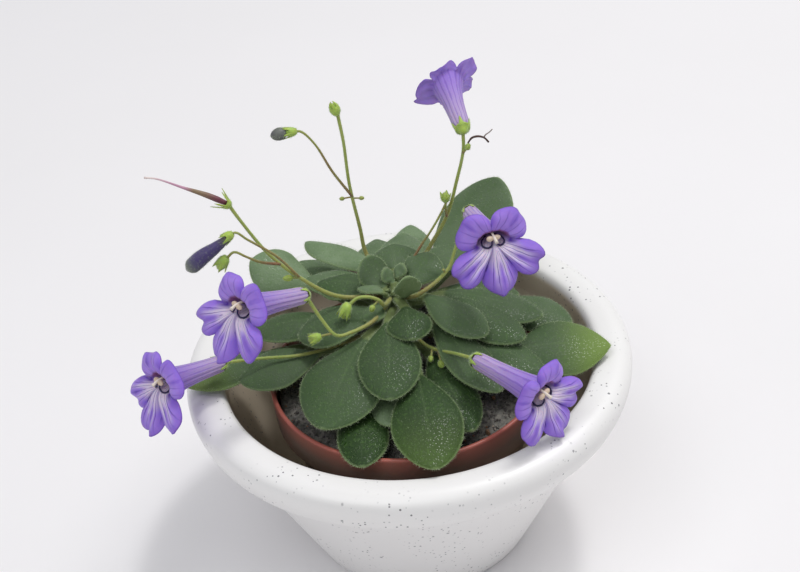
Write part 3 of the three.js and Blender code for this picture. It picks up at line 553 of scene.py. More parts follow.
# %% Build the crumb tree and strew the crumbs
def crumb_tree():
    tree, sockets, given, spots = scattering("soil_crumbs", "Ground", "Crumbs per mm2", {
        "Ground": "Geometry", "Crumbs per mm2": "Float", "Smallest": "Float", "Largest": "Float",
        "Seed": "Int", "Finish": "Material",
    })
    stone = add_node(tree, "GeometryNodeMeshIcoSphere", {"Radius": 0.5, "Subdivisions": 1})
    spin = add_node(tree, "FunctionNodeRandomValue", {1: (6.28, 6.28, 6.28)}, data_type="FLOAT_VECTOR")
    size = add_node(tree, "FunctionNodeRandomValue", {2: given["Smallest"], 3: given["Largest"]})
    uneven = {0: (0.6, 0.5, 0.35), 1: (1.5, 1.1, 0.8), "Seed": 5}
    flat = add_node(tree, "FunctionNodeRandomValue", uneven, data_type="FLOAT_VECTOR")
    shape = add_node(tree, "ShaderNodeVectorMath", {0: flat[0], "Scale": size[1]}, operation="SCALE")
    placing = {"Points": spots["Points"], "Instance": stone["Mesh"], "Rotation": spin[0], "Scale": shape[0]}
    set_out(tree, given, "Ground", placing)
    return tree, sockets


CRUMBS, CRUMB_SOCKETS = crumb_tree()
crumb_kinds = [
    (0.5, 0.5, 1.5, crumb_paint("dark_crumb", rgb(72, 71, 69), rgb(112, 107, 101))),
    (0.012, 0.7, 2.2, crumb_paint("bark_crumb", rgb(104, 74, 52), rgb(150, 120, 92))),
    (0.006, 0.5, 1.3, crumb_paint("pale_grain", rgb(176, 160, 140), rgb(206, 196, 180))),
]
for seed, (per_mm2, smallest, largest, finish) in enumerate(crumb_kinds):
    run_tree(soil, "crumbs", CRUMBS, CRUMB_SOCKETS, {
        "Crumbs per mm2": per_mm2, "Smallest": smallest * MM, "Largest": largest * MM, "Seed": seed,
        "Finish": finish,
    })
kept(soil, "soil", "soil")

# %% [markdown]
# ## Leaves
# A leaf starts as a flat stalk on the stem and widens into a thick round blade. Each one is a skin
# round its midrib: the rows follow the CAD's curve, the outline is the same rule, and the section is
# a thin lens with a groove over the midrib, a keel under it and edges that roll down. The
# thirty-four leaves share this rule, and each has its own place, width, waves and tone.
# foot is the height at which the stalk leaves the stem, heel is where the blade starts and tip
# where it ends. tone says how light a leaf is: partly its own green and partly painted light and
# shade, lighter on some leaves that lie in shade and darker on some in the light. lit says how much
# its tip is painted lighter, a painted glow of light.

# %% List the leaves
def leaf_shape(name, foot, heel, tip, width, arch, tone, **more):
    return dict(name="leaf_" + name, foot=foot, heel=heel, tip=tip, width=width, arch=arch, tone=tone, **more)


LEAVES = [
    leaf_shape("young_centre", 75, (0.9, 0.8, 76.3), (1.7, -2.8, 84.6), 7.6, -0.4, 0.84),
    leaf_shape("young_left", 76, (-4.5, 4, 77), (-8.2, 9.5, 84), 9.6, -0.8, 0.35),
    leaf_shape("young_right", 75, (3, 6, 76), (9, 12.5, 81), 12.5, 0.6, 0.46),
    leaf_shape("young_front", 74, (0.5, -3.5, 75), (1.6, -17, 74.7), 12, 1.6, 0.1),
    leaf_shape("young_back", 74, (-1, 13, 76), (-1, 23.5, 77.5), 14, 0.8, 0.37),
    leaf_shape("front_upper", 71, (-4, -7, 73.5), (-5.3, -33.6, 69.8), 16.2, 1.8, 0.13),
    leaf_shape("left_upper", 73, (-7.5, 7, 75), (-22.5, 12.5, 74.5), 12, 1.2, 0.2),
    leaf_shape("right_upper", 73, (6, 1.5, 74.5), (20.5, -14.5, 72), 12, 1.6, 0.34),
    leaf_shape("left_broad", 71, (-8, 0, 73), (-28, -5.5, 70), 17, 1.6, 0.26),
    leaf_shape("back_right_upper", 72, (6, 15, 74), (19.5, 26, 73), 13, 1.2, 0.42),
    leaf_shape("back_upper", 71, (0, 17, 73), (2, 34, 74), 12.5, 1, 0.97),
    leaf_shape("front_left", 68, (-10.5, -9, 70.5), (-22.5, -36.5, 65), 21.5, 2, 0.22),
    leaf_shape("right_second", 70, (9, 4, 71.5), (30.5, -13, 68.5), 14, 1.6, 0.24),
    leaf_shape("left_second", 71, (-8, 13, 72), (-26, 19.5, 71.5), 12.5, 1.2, 0.5),
    leaf_shape("back_left_long", 70, (-6, 17, 73), (-26, 36, 73), 10, 1.2, 0.91),
    leaf_shape("front_right_long", 68, (7.5, -5, 70), (22, -30, 66), 12, 1.4, 0.3),
    leaf_shape("right_third", 68, (11, 9, 69.5), (36.5, -3, 68), 14, 1.6, 0.32),
    leaf_shape("back_right_raised", 69, (10.5, 22, 71), (30.5, 38, 87), 24, -1.5, 0.51),
    leaf_shape("back_low", 67, (3, 22, 69), (4.5, 43.5, 70.5), 12, 1, 0.89),
    leaf_shape("left_third", 66, (-18, 5, 67.5), (-42, 5, 66), 13, 1.2, 0.24),
    leaf_shape("right_shaded", 66, (12, 14, 67), (32, 11, 65.5), 15, 1.2, 0.33),
    leaf_shape("front_over_rim", 64, (2, -22, 67.5), (4, -51, 61.8), 18, 2, 0.03, lit=0.15),
    leaf_shape("left_raised", 65, (-24, 22, 67), (-41.5, 27.5, 74), 15, 0.5, 0.88, roll=-25),
    leaf_shape("right_low", 65, (16, -9, 67), (34, -21, 64), 13, 1.2, 0.29),
    leaf_shape(
        "right_over_rim", 63, (27, -10, 64), (53, -12, 63), 18.5, 0.8, 0.25, roll=15, pointed=True, lit=0.6,
    ),
    leaf_shape("left_low", 63, (-23, -6, 65), (-44.5, -11, 62.3), 16.5, 1.4, 0.31),
    leaf_shape("right_bright", 62, (24, 12, 64), (44.5, -1, 63), 15, 1.4, 0.4),
    leaf_shape("front_right_low", 61, (6, -11, 64.5), (14, -38.5, 61.5), 13, 1.2, 0.05),
    leaf_shape("front_low", 60, (-5, -14, 63.5), (-6, -35, 62.5), 11.5, 0.8, 1),
    leaf_shape("left_over_rim", 60, (-36, 0, 62), (-58, -12, 62.5), 13, 1.2, 0.34, pointed=True, lit=0.5),
    leaf_shape("front_left_low", 60, (-12, -21, 62), (-13.5, -47, 61), 13, 1, 0),
    leaf_shape("back_lower_right", 63, (13, 25, 65), (27, 43, 63), 15, 1.4, 0.51),
    leaf_shape("back_lower_middle", 61, (-4, 27, 65), (-6, 49, 63), 15, 1.4, 0.51),
    leaf_shape("back_lower_left", 62, (-15, 24, 65), (-29, 41, 63), 15, 1.4, 0.51),
]
BUDDING_LEAVES = [
    dict(foot=75, heel=(-2, 5, 77.5), tip=(-4, 6.5, 81.5), width=4.6, arch=-0.3, tone=0.6),
    dict(foot=74, heel=(-5, 2, 77), tip=(-11.5, 4.5, 77.2), width=4, arch=0.8, tone=0.6),
    dict(foot=72, heel=(-5.5, 1.5, 73.5), tip=(-10.4, -5, 73.2), width=7.5, arch=0.6, tone=0.4),
    dict(foot=75, heel=(-1, 7.5, 77.5), tip=(1, 9.5, 80.5), width=4, arch=-0.2, tone=0.6),
]
print(len(LEAVES), "leaves and", len(BUDDING_LEAVES), "budding ones")

# %% [markdown]
# The surface of a leaf is dark green with a faint greyish velvet. The edge is paler, the midrib is
# hardly lighter than the blade, and the underside is pale green. Each hair stands on a tiny wart,
# and the warts glint where light strikes the outer half of the blade: they are the only glossy
# spots of the finish, as fine as half a millimetre.

# %% Mix the leaf green
def leaf_green():
    paint = Finish(
        "leaf_green", sheen_weight=0.04, sheen_roughness=0.4, sheen_tint=rgb(205, 225, 190),
        specular_ior_level=0.5,
    )
    tone, along, edge = paint.value("tone"), paint.value("along"), paint.value("edge")
    upper, rib, lit = paint.value("upper"), paint.value("rib"), paint.value("lit")
    # tone: each leaf's own green, partly painted light and shade
    green = paint.blend(tone, rgb(26, 54, 4), rgb(130, 152, 116))
    patch = paint.fade(paint.noise(110, 3), 0.3, 0.75, 0, 0.35)
    green = paint.blend(patch, green, rgb(44, 82, 12))
    speckle = paint.fade(paint.noise(1300, 2), 0.5, 0.7, 0, 0.3)
    green = paint.blend(speckle, green, rgb(82, 118, 50))
    midrib = paint.maths("MULTIPLY", paint.fade(rib, 0.1, 0.5, 0.12, 0), paint.fade(along, 0.4, 1, 1, 0))
    green = paint.blend(midrib, green, rgb(116, 140, 92))
    margin = paint.fade(edge, 0, 0.7, 0.5, 0)
    green = paint.blend(margin, green, rgb(140, 164, 108))
    # painted light: the tips of the leaves over the rim are painted a lighter yellow-green
    painted_tip_light = paint.maths("MULTIPLY", lit, paint.fade(along, 0.35, 1))
    green = paint.blend(painted_tip_light, green, rgb(140, 168, 74))
    stalk = paint.fade(along, 0, 0.06, 1, 0)
    green = paint.blend(stalk, green, rgb(112, 128, 76))
    colour = paint.blend(upper, rgb(124, 146, 98), green)
    warts = paint.cells(1500)
    dull = paint.fade(along, 0.45, 0.75, 0.6, 0)
    gloss = paint.maths("MAXIMUM", paint.fade(warts, 0.2, 0.45, 0.2, 0.75), dull)
    normal = paint.bump(paint.fade(warts, 0, 0.5, 1, 0), 0.2, 0.00025)
    normal = paint.bump(paint.noise(420, 3), 0.05, 0.0005, normal)
    return paint.end(base_color=colour, roughness=gloss, normal=normal)


LEAF_GREEN = leaf_green()
print("leaf green mixed")

# %% [markdown]
# The rows of a blade lie closer together at its two ends, where it narrows quickly. A thin strip
# along the margin gets many more hairs than the blade.

# %% Draw the leaves
STEM_RADIUS, LEAF_THICKNESS, LEAF_CAMBER, STALK_HALF_WIDTH = 3.6, 1.0, 1.3, 1.4
HALF_SECTION = array(0.07, 0.17, 0.3, 0.45, 0.6, 0.74, 0.86, 0.94, 0.985, 1)
SECTION = np.concatenate([-HALF_SECTION[::-1], [0], HALF_SECTION])
BLADE_STEPS = 24
MARGIN_WIDTH, MARGIN_HAIRS = 0.3, 20  # a strip of this width has so many times more hairs


def outline(share, pointed):
    """Half of the blade's width at a share of its length, as a share of its greatest half width."""
    if pointed:
        return math.sin(math.pi * min(share**1.1, 1)) ** 0.8
    return max(math.sin(math.pi * min(share**1.25, 1)), 0) ** 0.6


def leaf_rings(shape, seed):
    """Rings of one leaf from the stem to its tip, and the values for its finish."""
    heel, tip = array(*shape["heel"]), array(*shape["tip"])
    away = unit(heel[:2] - STEM) * (STEM_RADIUS - 0.6)
    middle = (heel + tip) / 2 + array(0, 0, shape["arch"])
    points = [array(*(STEM + away), shape["foot"]), heel, middle, tip]
    shares = (1 - np.cos(np.linspace(0, math.pi, BLADE_STEPS + 1))) / 2
    stops = [(at, 0) for at in (0, 0.08, 0.16, 0.24, 0.3)]
    stops += [(1 / 3 + share * 2 / 3, share) for share in shares]
    rings, values = [], {name: [] for name in ("along", "edge", "rib", "upper", "hairs")}
    length, width = np.linalg.norm(tip - heel), shape["width"]
    for at, share in stops:
        along = curve_way(points, at)
        side = turned_about(unit(np.cross(along, (0, 0, 1))), along, math.radians(shape.get("roll", 0)))
        up = np.cross(side, along)
        wide = width / 2 * outline(share, shape.get("pointed"))
        narrow = min(STALK_HALF_WIDTH, width / 5) * max(0, 1 - share * 2)
        half = max((wide**3 + narrow**3) ** (1 / 3), 0.05)
        broad = min(1, 2 * wide / width)
        drop = LEAF_CAMBER * broad * min(1, width / 14)
        thick = lerp(1.7, LEAF_THICKNESS, min(1, share * 6)) * min(1, 0.25 + half / 2)
        ring, facts = [], {name: [] for name in values}
        for face, section in ((1, SECTION), (-1, SECTION[-2:0:-1])):
            for u in section:
                across = u * half
                sag = drop * (u * u + 0.35 * u**6)
                ripple = math.sin(5 * share + seed) * u + 0.7 * math.sin(7 * share + 2.1 * seed) * u * u
                wave = 0.32 * broad * ripple
                rib = math.exp(-((across / 0.7) ** 2)) * max(0, 1 - share) ** 0.6 * min(1, width / 14)
                shell = face * thick / 2 * math.sqrt(max(0, 1 - u * u))
                crease = -0.14 * rib if face > 0 else -0.45 * rib
                height = shell + crease * min(1, share * 5) - sag + wave
                ring.append(curve_point(points, at) + side * across + up * height)
                rim = min(half * (1 - abs(u)), (1 - share) * length)
                facts["along"].append(share)
                facts["edge"].append(rim)
                facts["rib"].append(abs(across))
                facts["upper"].append(1 if face > 0 else 0)
                crowd = MARGIN_HAIRS if rim < MARGIN_WIDTH else 1
                facts["hairs"].append(crowd * (1 if face > 0 else 0.6))
        rings.append(ring)
        for name in values:
            values[name].append(facts[name])
    return rings, values


total = 0
for seed, shape in enumerate(LEAVES):
    rings, values = leaf_rings(shape, seed)
    blade = Skin()
    blade.add(rings, tone=shape["tone"], lit=shape.get("lit", 0), **values)
    leaf = blade.piece("dressed_" + shape["name"], [LEAF_GREEN])
    grow_hairs(leaf, WHITE_HAIR, 0.6, 0.75, seed)
    kept(leaf, "leaf", shape["name"])
    total += sum(len(face.vertices) - 2 for face in leaf.data.polygons)
print("leaves have", total, "triangles")

# %% [markdown]
# ## Stem
# The rosette sits on a short stem that is ringed where old leaves have dropped off. The smallest
# leaves, still folded, are one piece with it, as they are in the CAD model.

# %% Make the stem
def stem_skin():
    paint = Finish("stem_skin", roughness=0.7)
    old = paint.blend(paint.noise(300, 4), rgb(96, 72, 48), rgb(120, 108, 66))
    fresh = paint.fade(paint.node("ShaderNodeSeparateXYZ", {0: paint.place()}, "Z"), 0.060, 0.072)
    colour = paint.blend(fresh, old, rgb(92, 112, 58))
    return paint.end(base_color=colour, normal=paint.bump(paint.noise(1200, 3), 0.4, 0.0005))


stem_profile = [
    (0.3, 46), (3.6, 46), (3.6, 57), (3.3, 58.6), (3.2, 61), (3.6, 63), (3.25, 65), (3.2, 68), (3.5, 70.5),
    (3.2, 73), (2.8, 75), (1.7, 76.5), (0.3, 77),
]
core = Skin()
moved = array(STEM[0], STEM[1], 0)
core.add(np.array(lathe_rings(rounded(stem_profile, 3), 28)) + moved, slot=1, hairs=0.3)
for seed, shape in enumerate(BUDDING_LEAVES):
    rings, values = leaf_rings(shape, seed + 50)
    core.add(rings, tone=shape["tone"], **values)
stem = core.piece("stem_and_budding_leaves", [LEAF_GREEN, stem_skin()])
grow_hairs(stem, WHITE_HAIR, 1, 0.5, 60)
kept(stem, "leaf", "stem")

# %% [markdown]
# ## Flower stalks
# Thin round stalks rise from between the leaves and branch once or twice. They are yellow-green,
# redder near the foot, and hairy. Buds, cups and the ring of five narrow teeth that holds each
# flower are joined to them, so a stalk with all it bears is one piece, as in the CAD model.

# %% List the stalks, buds and flowers
SCAPES = {
    "flower_stalk_1": [
        [(-5, 4, 65), (-16, -3, 65.5), (-28, -8, 66.5), (-38, -8.8, 67.3), (-47.6, -11, 68.8)],
    ],
    "flower_stalk_2": [
        [
            (-4, 2, 73), (-8, -6, 73.8), (-13.5, -11.5, 75), (-17.5, -14, 76.3), (-20.5, -13, 80.5),
            (-24, -11.5, 87.9),
        ],
        [(-18, -13.8, 77), (-20, -14.5, 77.2), (-22, -14.8, 77)],
    ],
    "flower_stalk_3": [
        [
            (0, 4, 73), (4, 0.3, 76.2), (10, 3.5, 78.2), (13.3, 6.5, 80), (15, 9, 83),
            (17, 11, 87), (19.7, 11.5, 93.3),
        ],
        [(12, 5.5, 79), (11.5, 4.5, 80.6)],
    ],
    "flower_stalk_4": [
        [(0, 2, 66), (5, -10, 67.2), (8.5, -14.5, 68.6), (12, -19, 70.8), (16.5, -25.2, 73.3)],
        [(8, -14, 68.4), (8.3, -16.5, 66.8)],
        [(6.5, -12, 67.8), (6, -14.5, 67)],
    ],
    "flower_stalk_5": [
        [
            (0, 9, 72), (8.2, 16, 79.7), (14.2, 18, 89), (17.3, 19, 98.5), (19.6, 20, 107),
            (19.9, 21.1, 112.7),
        ],
        [(0, 11, 74), (6.6, 14.5, 82.5), (9.2, 15, 86), (12, 16, 90), (15.2, 18, 95)],
        [(14, 17.8, 88.6), (13.8, 16.4, 91.8), (13.9, 15.6, 95)],
        [(19.5, 19.7, 106.5), (20.6, 19.3, 108)],
    ],
    "fruit_stalk_left": [
        [(-5, 6, 73), (-17, 2.5, 76.8), (-26, 2.2, 84), (-33, 3, 91.5), (-39, 3.7, 102.3), (-41, 4, 106.5)],
        [(-26, 2.2, 84), (-31, 0.7, 92.3), (-37.5, -0.8, 99.2), (-40, -1.6, 102), (-42, -2, 101)],
        [(-30.5, 2.6, 88.5), (-35.2, -0.8, 92), (-38.3, -2, 94.8), (-41, -2.8, 97), (-43, -3, 95.6)],
        [(-26, 2.2, 84), (-28, 1.8, 84.5)],
    ],
    "bud_stalk_back": [
        [
            (-3, 10, 73), (-8.5, 17.5, 79.2), (-9.5, 19, 87), (-11, 20, 100), (-11.3, 21, 112.5),
            (-12, 22, 120),
        ],
        [(-10.6, 19.7, 96.5), (-15, 19, 105), (-18.5, 18, 114), (-21.6, 17, 118.6), (-23.4, 16.7, 119)],
    ],
    "young_buds_front": [
        [(-3, 3, 74), (-5, -2.5, 76), (-6, -3, 78), (-8.5, -3, 79.4), (-11.5, -3, 79.4), (-14, -4, 78)],
        [(-6, -3, 78.2), (-7.6, -4, 77.2)],
    ],
}
GREEN_BUDS = {
    "flower_stalk_2": [((-23, -15, 76.8), (-1, -0.1, -0.2), 3.4, 2.6)],
    "flower_stalk_4": [
        ((8.4, -17, 66.2), (0.1, -1, -0.6), 2.2, 1.9),
        ((5.8, -15, 66.6), (-0.2, -1, -0.4), 1.8, 1.5),
    ],
    "flower_stalk_5": [
        ((13.9, 15.6, 96), (0, -0.1, 1), 2.8, 2.5),
        ((20.8, 19.2, 108.4), (0.4, -0.2, 1), 2, 1.6),
    ],
    "fruit_stalk_left": [
        ((-44.4, -3, 94.2), (-0.6, 0, -0.8), 4.2, 3),
        ((-29, 1.6, 84.6), (-1, -0.2, 0.1), 2.8, 1.7),
    ],
    "bud_stalk_back": [
        ((-12.4, 20, 96), (-1, 0, -0.1), 3.4, 1.1),
        ((-9, 20, 95.6), (1, 0, -0.1), 2.8, 1.1),
    ],
    "young_buds_front": [
        ((-15, -4.6, 76.8), (-0.5, -0.3, -1), 4.4, 3),
        ((-8, -4.3, 76.6), (-0.4, -0.3, -1), 2, 1.6),
    ],
}
CUPS = {
    "bud_stalk_back": [
        ((-12, 22, 119.6), (-0.3, 0, 1), 4.1, 2.7),
        ((-22.6, 16.9, 118.9), (-1, -0.15, 0.02), 3.8, 2.8),
    ],
    "fruit_stalk_left": [
        ((-40.6, 4, 106.2), (-0.8, 0.1, 0.7), 3.2, 2.4),
        ((-40.6, -1.8, 102), (-0.85, -0.1, -0.5), 3.2, 2.8),
    ],
}
FLOWERS = [
    dict(name="flower_1", base=(-47.6, -11, 68.8), throat=(-61.9, -21.9, 72.2), roll=1, reaches=[0.96] * 5),
    dict(name="flower_2", base=(-24, -11.5, 87.9), throat=(-39, -23.8, 94.2), roll=-2),
    dict(name="flower_3", base=(19.7, 11.5, 93.3), throat=(23.8, -8.3, 96.5), roll=2),
    dict(name="flower_4", base=(16.5, -25.2, 73.3), throat=(30.9, -41.4, 73.3), roll=15, reaches=[0.85] * 5),
    dict(
        name="flower_5", base=(19.9, 21.1, 112.7), throat=(17.4, 40.9, 116), roll=-62,
        reaches=[0.42, 0.62, 0.5, 0.4, 0.95], opening=0.85, closer=(0.15, 0.32, 0.4, 0.32, 0.7),
    ),
]
print(len(SCAPES), "stalks,", len(FLOWERS), "flowers")

# %% [markdown]
# One green serves all stalks, buds and cups. The value "red" flushes a stalk near its foot, and
# "cup" makes a cup or bud brighter. A piece's own axes are found from the way that it points.

# %% Mix the stalk green and join the stalks
def stalk_green():
    paint = Finish(
        "stalk_green", roughness=0.5, sheen_weight=0.15, subsurface_weight=0.1, subsurface_scale=0.002,
    )
    red, cup = paint.value("red"), paint.value("cup")
    green = paint.blend(paint.noise(260, 3), rgb(146, 172, 74), rgb(172, 188, 98))
    flush = paint.maths("MULTIPLY", red, paint.fade(paint.noise(160, 3), 0.3, 0.7, 0.5, 1))
    colour = paint.blend(flush, green, rgb(142, 96, 72))
    colour = paint.blend(cup, colour, rgb(174, 202, 84))
    return paint.end(base_color=colour, normal=paint.bump(paint.noise(1800, 2), 0.3, 0.0004))


STALK_GREEN = stalk_green()


def flower_axes(at, toward, roll=0):
    """Side, up and along directions of something that points toward a direction."""
    along = unit(array(*toward))
    side = unit(np.cross((0, 0, 1), along))
    side = turned_about(side, along, math.radians(roll))
    return array(*at), np.array([side, np.cross(along, side), along])


def placed(rings, place):
    origin, axes = place
    return origin + np.array(rings, float) @ axes


def bud_rings(length, width, sides=14, steps=12, folds=0.0):
    """An egg a little fuller near its foot, along Z and centred. folds are five grooves that grow
    deeper toward the tip, as between the sepals of a closed bud."""
    rings = []
    for a in np.linspace(0.12, math.pi - 0.12, steps):
        turns = np.linspace(0, 2 * math.pi, sides, endpoint=False)
        groove = [folds * (a / math.pi) * math.cos(2.5 * t) ** 8 for t in turns]
        radii = [width / 2 * math.sin(a) * (1 + 0.12 * math.cos(a)) * (1 - deep) for deep in groove]
        height = -length / 2 * math.cos(a)
        rings.append([(r * math.cos(t), r * math.sin(t), height) for r, t in zip(radii, turns)])
    return rings


TEETH, CROWN_SIDES = 5, 60


def crown_rings(profile, narrow=0.55):
    """Rings of a cup with narrow teeth. Each line gives the radius and height between the teeth and
    the radius and height at the middle of a tooth."""
    rings = []
    for gap_radius, gap_height, tooth_radius, tooth_height in profile:
        ring = []
        for k in range(CROWN_SIDES):
            turn = 2 * math.pi * k / CROWN_SIDES
            off = abs((TEETH * k / CROWN_SIDES) % 1 - 0.5) * 2
            tooth = max(0, 1 - (1 - off) / narrow) ** 0.75 if off > 1 - narrow else 0
            radius, height = lerp(gap_radius, tooth_radius, tooth), lerp(gap_height, tooth_height, tooth)
            ring.append((radius * math.cos(turn), radius * math.sin(turn), height))
        rings.append(ring)
    return rings


CALYX = [
    (0.5, -1.5, 0.5, -1.5), (0.8, -1.1, 0.8, -1.1), (1.35, -0.5, 1.35, -0.5), (1.8, -0.1, 1.95, 0.1),
    (2, 0.1, 2.3, 0.6), (2.05, 0.2, 2.4, 1.5), (2.08, 0.25, 2.6, 2.7), (2, 0.2, 2.48, 2.7),
    (1.95, 0.1, 2.24, 1.5), (1.9, 0, 2.1, 0.6), (1.6, -0.3, 1.6, -0.3),
]


# cups round buds, in shares of a bud's length and width: one with spread teeth, one closed
OPEN_CUP = [
    (0.25, 0, 0.25, 0), (0.42, 0.25, 0.42, 0.25), (0.46, 0.45, 0.5, 0.6), (0.47, 0.5, 0.6, 1.05),
    (0.42, 0.5, 0.54, 1.03), (0.3, 0.42, 0.36, 0.5),
]
CLOSED_CUP = [
    (0.22, 0, 0.22, 0), (0.46, 0.25, 0.46, 0.25), (0.52, 0.45, 0.55, 0.5), (0.48, 0.7, 0.22, 1),
    (0.42, 0.7, 0.12, 1), (0.3, 0.5, 0.3, 0.6),
]


def scaled(profile, length, width):
    return [(a * width, b * length, c * width, d * length) for a, b, c, d in profile]


def flower_place(flower):
    base, throat = array(*flower["base"]), array(*flower["throat"])
    return flower_axes(base, throat - base, flower["roll"])


SPREAD_CUP = [
    (0.3, 0, 0.3, 0), (1.1, 0.6, 1.1, 0.6), (1.35, 1.3, 1.5, 1.5), (1.4, 1.5, 2, 2.6), (1.4, 1.6, 3, 4.4),
    (1.3, 1.6, 2.85, 4.4), (1.2, 1.5, 1.8, 2.6), (1.1, 1.3, 1.3, 1.5), (0.8, 1, 0.8, 1),
]
MAIN_STALK, SIDE_STALK = [0.66, 0.56, 0.46, 0.42, 0.48], [0.4, 0.3, 0.34]  # radii from foot to end
for seed, (name, lines) in enumerate(SCAPES.items()):
    stalk = Skin()
    for number, line in enumerate(lines):
        rings = tube_rings(line, SIDE_STALK if number > 0 else MAIN_STALK)
        red = np.interp(np.linspace(0, 1, len(rings)), [0, 0.35, 0.7, 1], [0.8, 0.35, 0.05, 0.15])
        red = red + 0.35 * (number > 0)
        stalk.add(rings, hairs=1, red=red)
    for at, toward, length, width in GREEN_BUDS.get(name, []):
        if width < 1.2:  # only a thin stalk with a tiny bud at its end
            away = unit(array(*toward)) * length
            thread = [array(*at) - away * 0.5, array(*at), array(*at) + away * 0.3]
            stalk.add(tube_rings(thread, [0.24, 0.22, 0.24], 8, 3), hairs=1, red=0.7)
            tiny_bud = placed(bud_rings(1.4, 1.1, 20, 10), flower_axes(thread[2], toward))
            stalk.add(tiny_bud, hairs=2, cup=0.2, red=0.3)
            continue
        stalk.add(placed(bud_rings(length, width, 30, 12, 0.4), flower_axes(at, toward)), hairs=2, cup=0.5)
        if width > 2.4:
            foot = array(*at) - unit(array(*toward)) * length * 0.52
            sepals = crown_rings(scaled(OPEN_CUP, 0.92 * length, 1.08 * width), narrow=0.7)
            stalk.add(placed(sepals, flower_axes(foot, toward)), hairs=2, cup=1)
    for at, toward, length, width in CUPS.get(name, []):
        place = flower_axes(at, toward)
        wide = name == "fruit_stalk_left" and width < 2.5
        upright = name == "bud_stalk_back" and toward[2] == 1
        profile = scaled(CLOSED_CUP if upright else OPEN_CUP, length, width)
        rings = crown_rings(SPREAD_CUP, narrow=0.35) if wide else crown_rings(profile)
        stalk.add(placed(rings, place), hairs=2, cup=1)
        if name == "bud_stalk_back":
            bud = np.array(bud_rings(0.8 * length, 0.8 * width, 30, 12, 0.3)) + (0, 0, 0.5 * length)
            stalk.add(placed(bud, place), hairs=1, cup=1)
    flower = next((f for f in FLOWERS if name == f["name"].replace("flower_", "flower_stalk_")), None)
    if flower:
        stalk.add(placed(crown_rings(CALYX, narrow=0.4), flower_place(flower)), hairs=3, cup=1)
    piece = stalk.piece("dressed_" + name, [STALK_GREEN])
    grow_hairs(piece, WHITE_HAIR, 6, 0.45, 100 + seed, 0.7, 0.02)
    kept(piece, "stalk", name)

# %% [markdown]
# ## Flowers
# A primulina flower is a tube that opens into five lobes. Two short ones bend back over the tube,
# and three long ones make a lip that reaches forward. The petal is one thin sheet: rings up the
# tube and out to the lobes' edge, doubled for its thickness. off is 0 in the middle of a lobe and 1
# at the notch beside it, and out runs from 0 at the foot of the tube to 2 at the edge, so the
# finish can draw veins that follow the petals. Inside, the floor of the throat rises in a palate
# that faces whoever looks in, and the roof comes down over the anthers.

# %% Shape the petals
TUBE_BASE_RADIUS, THROAT_RADIUS, THROAT_PINCH, PETAL = 2.3, 4.9, 1.3, 0.42
PALATE, ROOF = 3.9, 1.8  # how far the throat's floor and roof stand into it
LOBES = [  # angle of a lobe's middle, its reach, and its lean at the mouth and at its end
    (143, 6.4, (50, 150)), (216, 9.8, (36, 110)), (270, 10.2, (26, 98)), (324, 9.8, (36, 110)),
    (397, 6.4, (50, 150)),
]
NOTCHES = [(90, 1.6), (186, 2.3), (241, 5.9), (299, 5.9), (354, 2.3), (450, 1.6)]
HALF_LOBE = [0.13, 0.26, 0.39, 0.52, 0.64, 0.75, 0.84, 0.91, 0.965]
LOBE_COLUMNS = [-1] + [-c for c in HALF_LOBE[::-1]] + [0] + HALF_LOBE
CLOSER = (0.15, 0.32, 0.42, 0.32, 0.15)  # how much narrower each lobe gets toward its end
TUBE_SHARES = [0, 0.02, 0.06, *np.linspace(0.13, 1, 11)]
LIMB_STEPS = 16


def tube_radius(share):
    return TUBE_BASE_RADIUS + (THROAT_RADIUS - TUBE_BASE_RADIUS) * (0.35 * share + 0.65 * share**4)


def limb_columns(flower):
    columns = []
    for i, (turn, reach, lean) in enumerate(LOBES):
        for across in LOBE_COLUMNS:
            notch = NOTCHES[i] if across < 0 else NOTCHES[i + 1]
            beside = LOBES[(i + 4) % 5] if across < 0 else LOBES[(i + 1) % 5]
            off = abs(across)
            mix = off**3 / 2
            lower = 1 if i in (1, 2, 3) else 0
            other = 1 if beside[0] in (216, 270, 324) else 0
            dark = 1 if notch[0] in (186, 354) else 0.55 if notch[0] in (241, 299) else 0.2
            columns.append(dict(
                turn=turn, notch=notch[0], reach=lerp(notch[1], reach, (1 - off**5) ** 0.6),
                lean=[lerp(a, b, mix) for a, b in zip(lean, beside[2])], off=off, across=across,
                lower=lerp(lower, other, mix), dark=dark, lobe=i, closer=flower.get("closer", CLOSER)[i],
            ))
    return columns


def fanned(column, limb):
    """Angle of a column, in radians. Outwards the lobe's columns close up, so that it is a strap."""
    off = column["off"]
    closer = off * (1 - column["closer"] * limb**1.5 * (1 - off**6))
    return math.radians(lerp(column["turn"], column["notch"], closer))


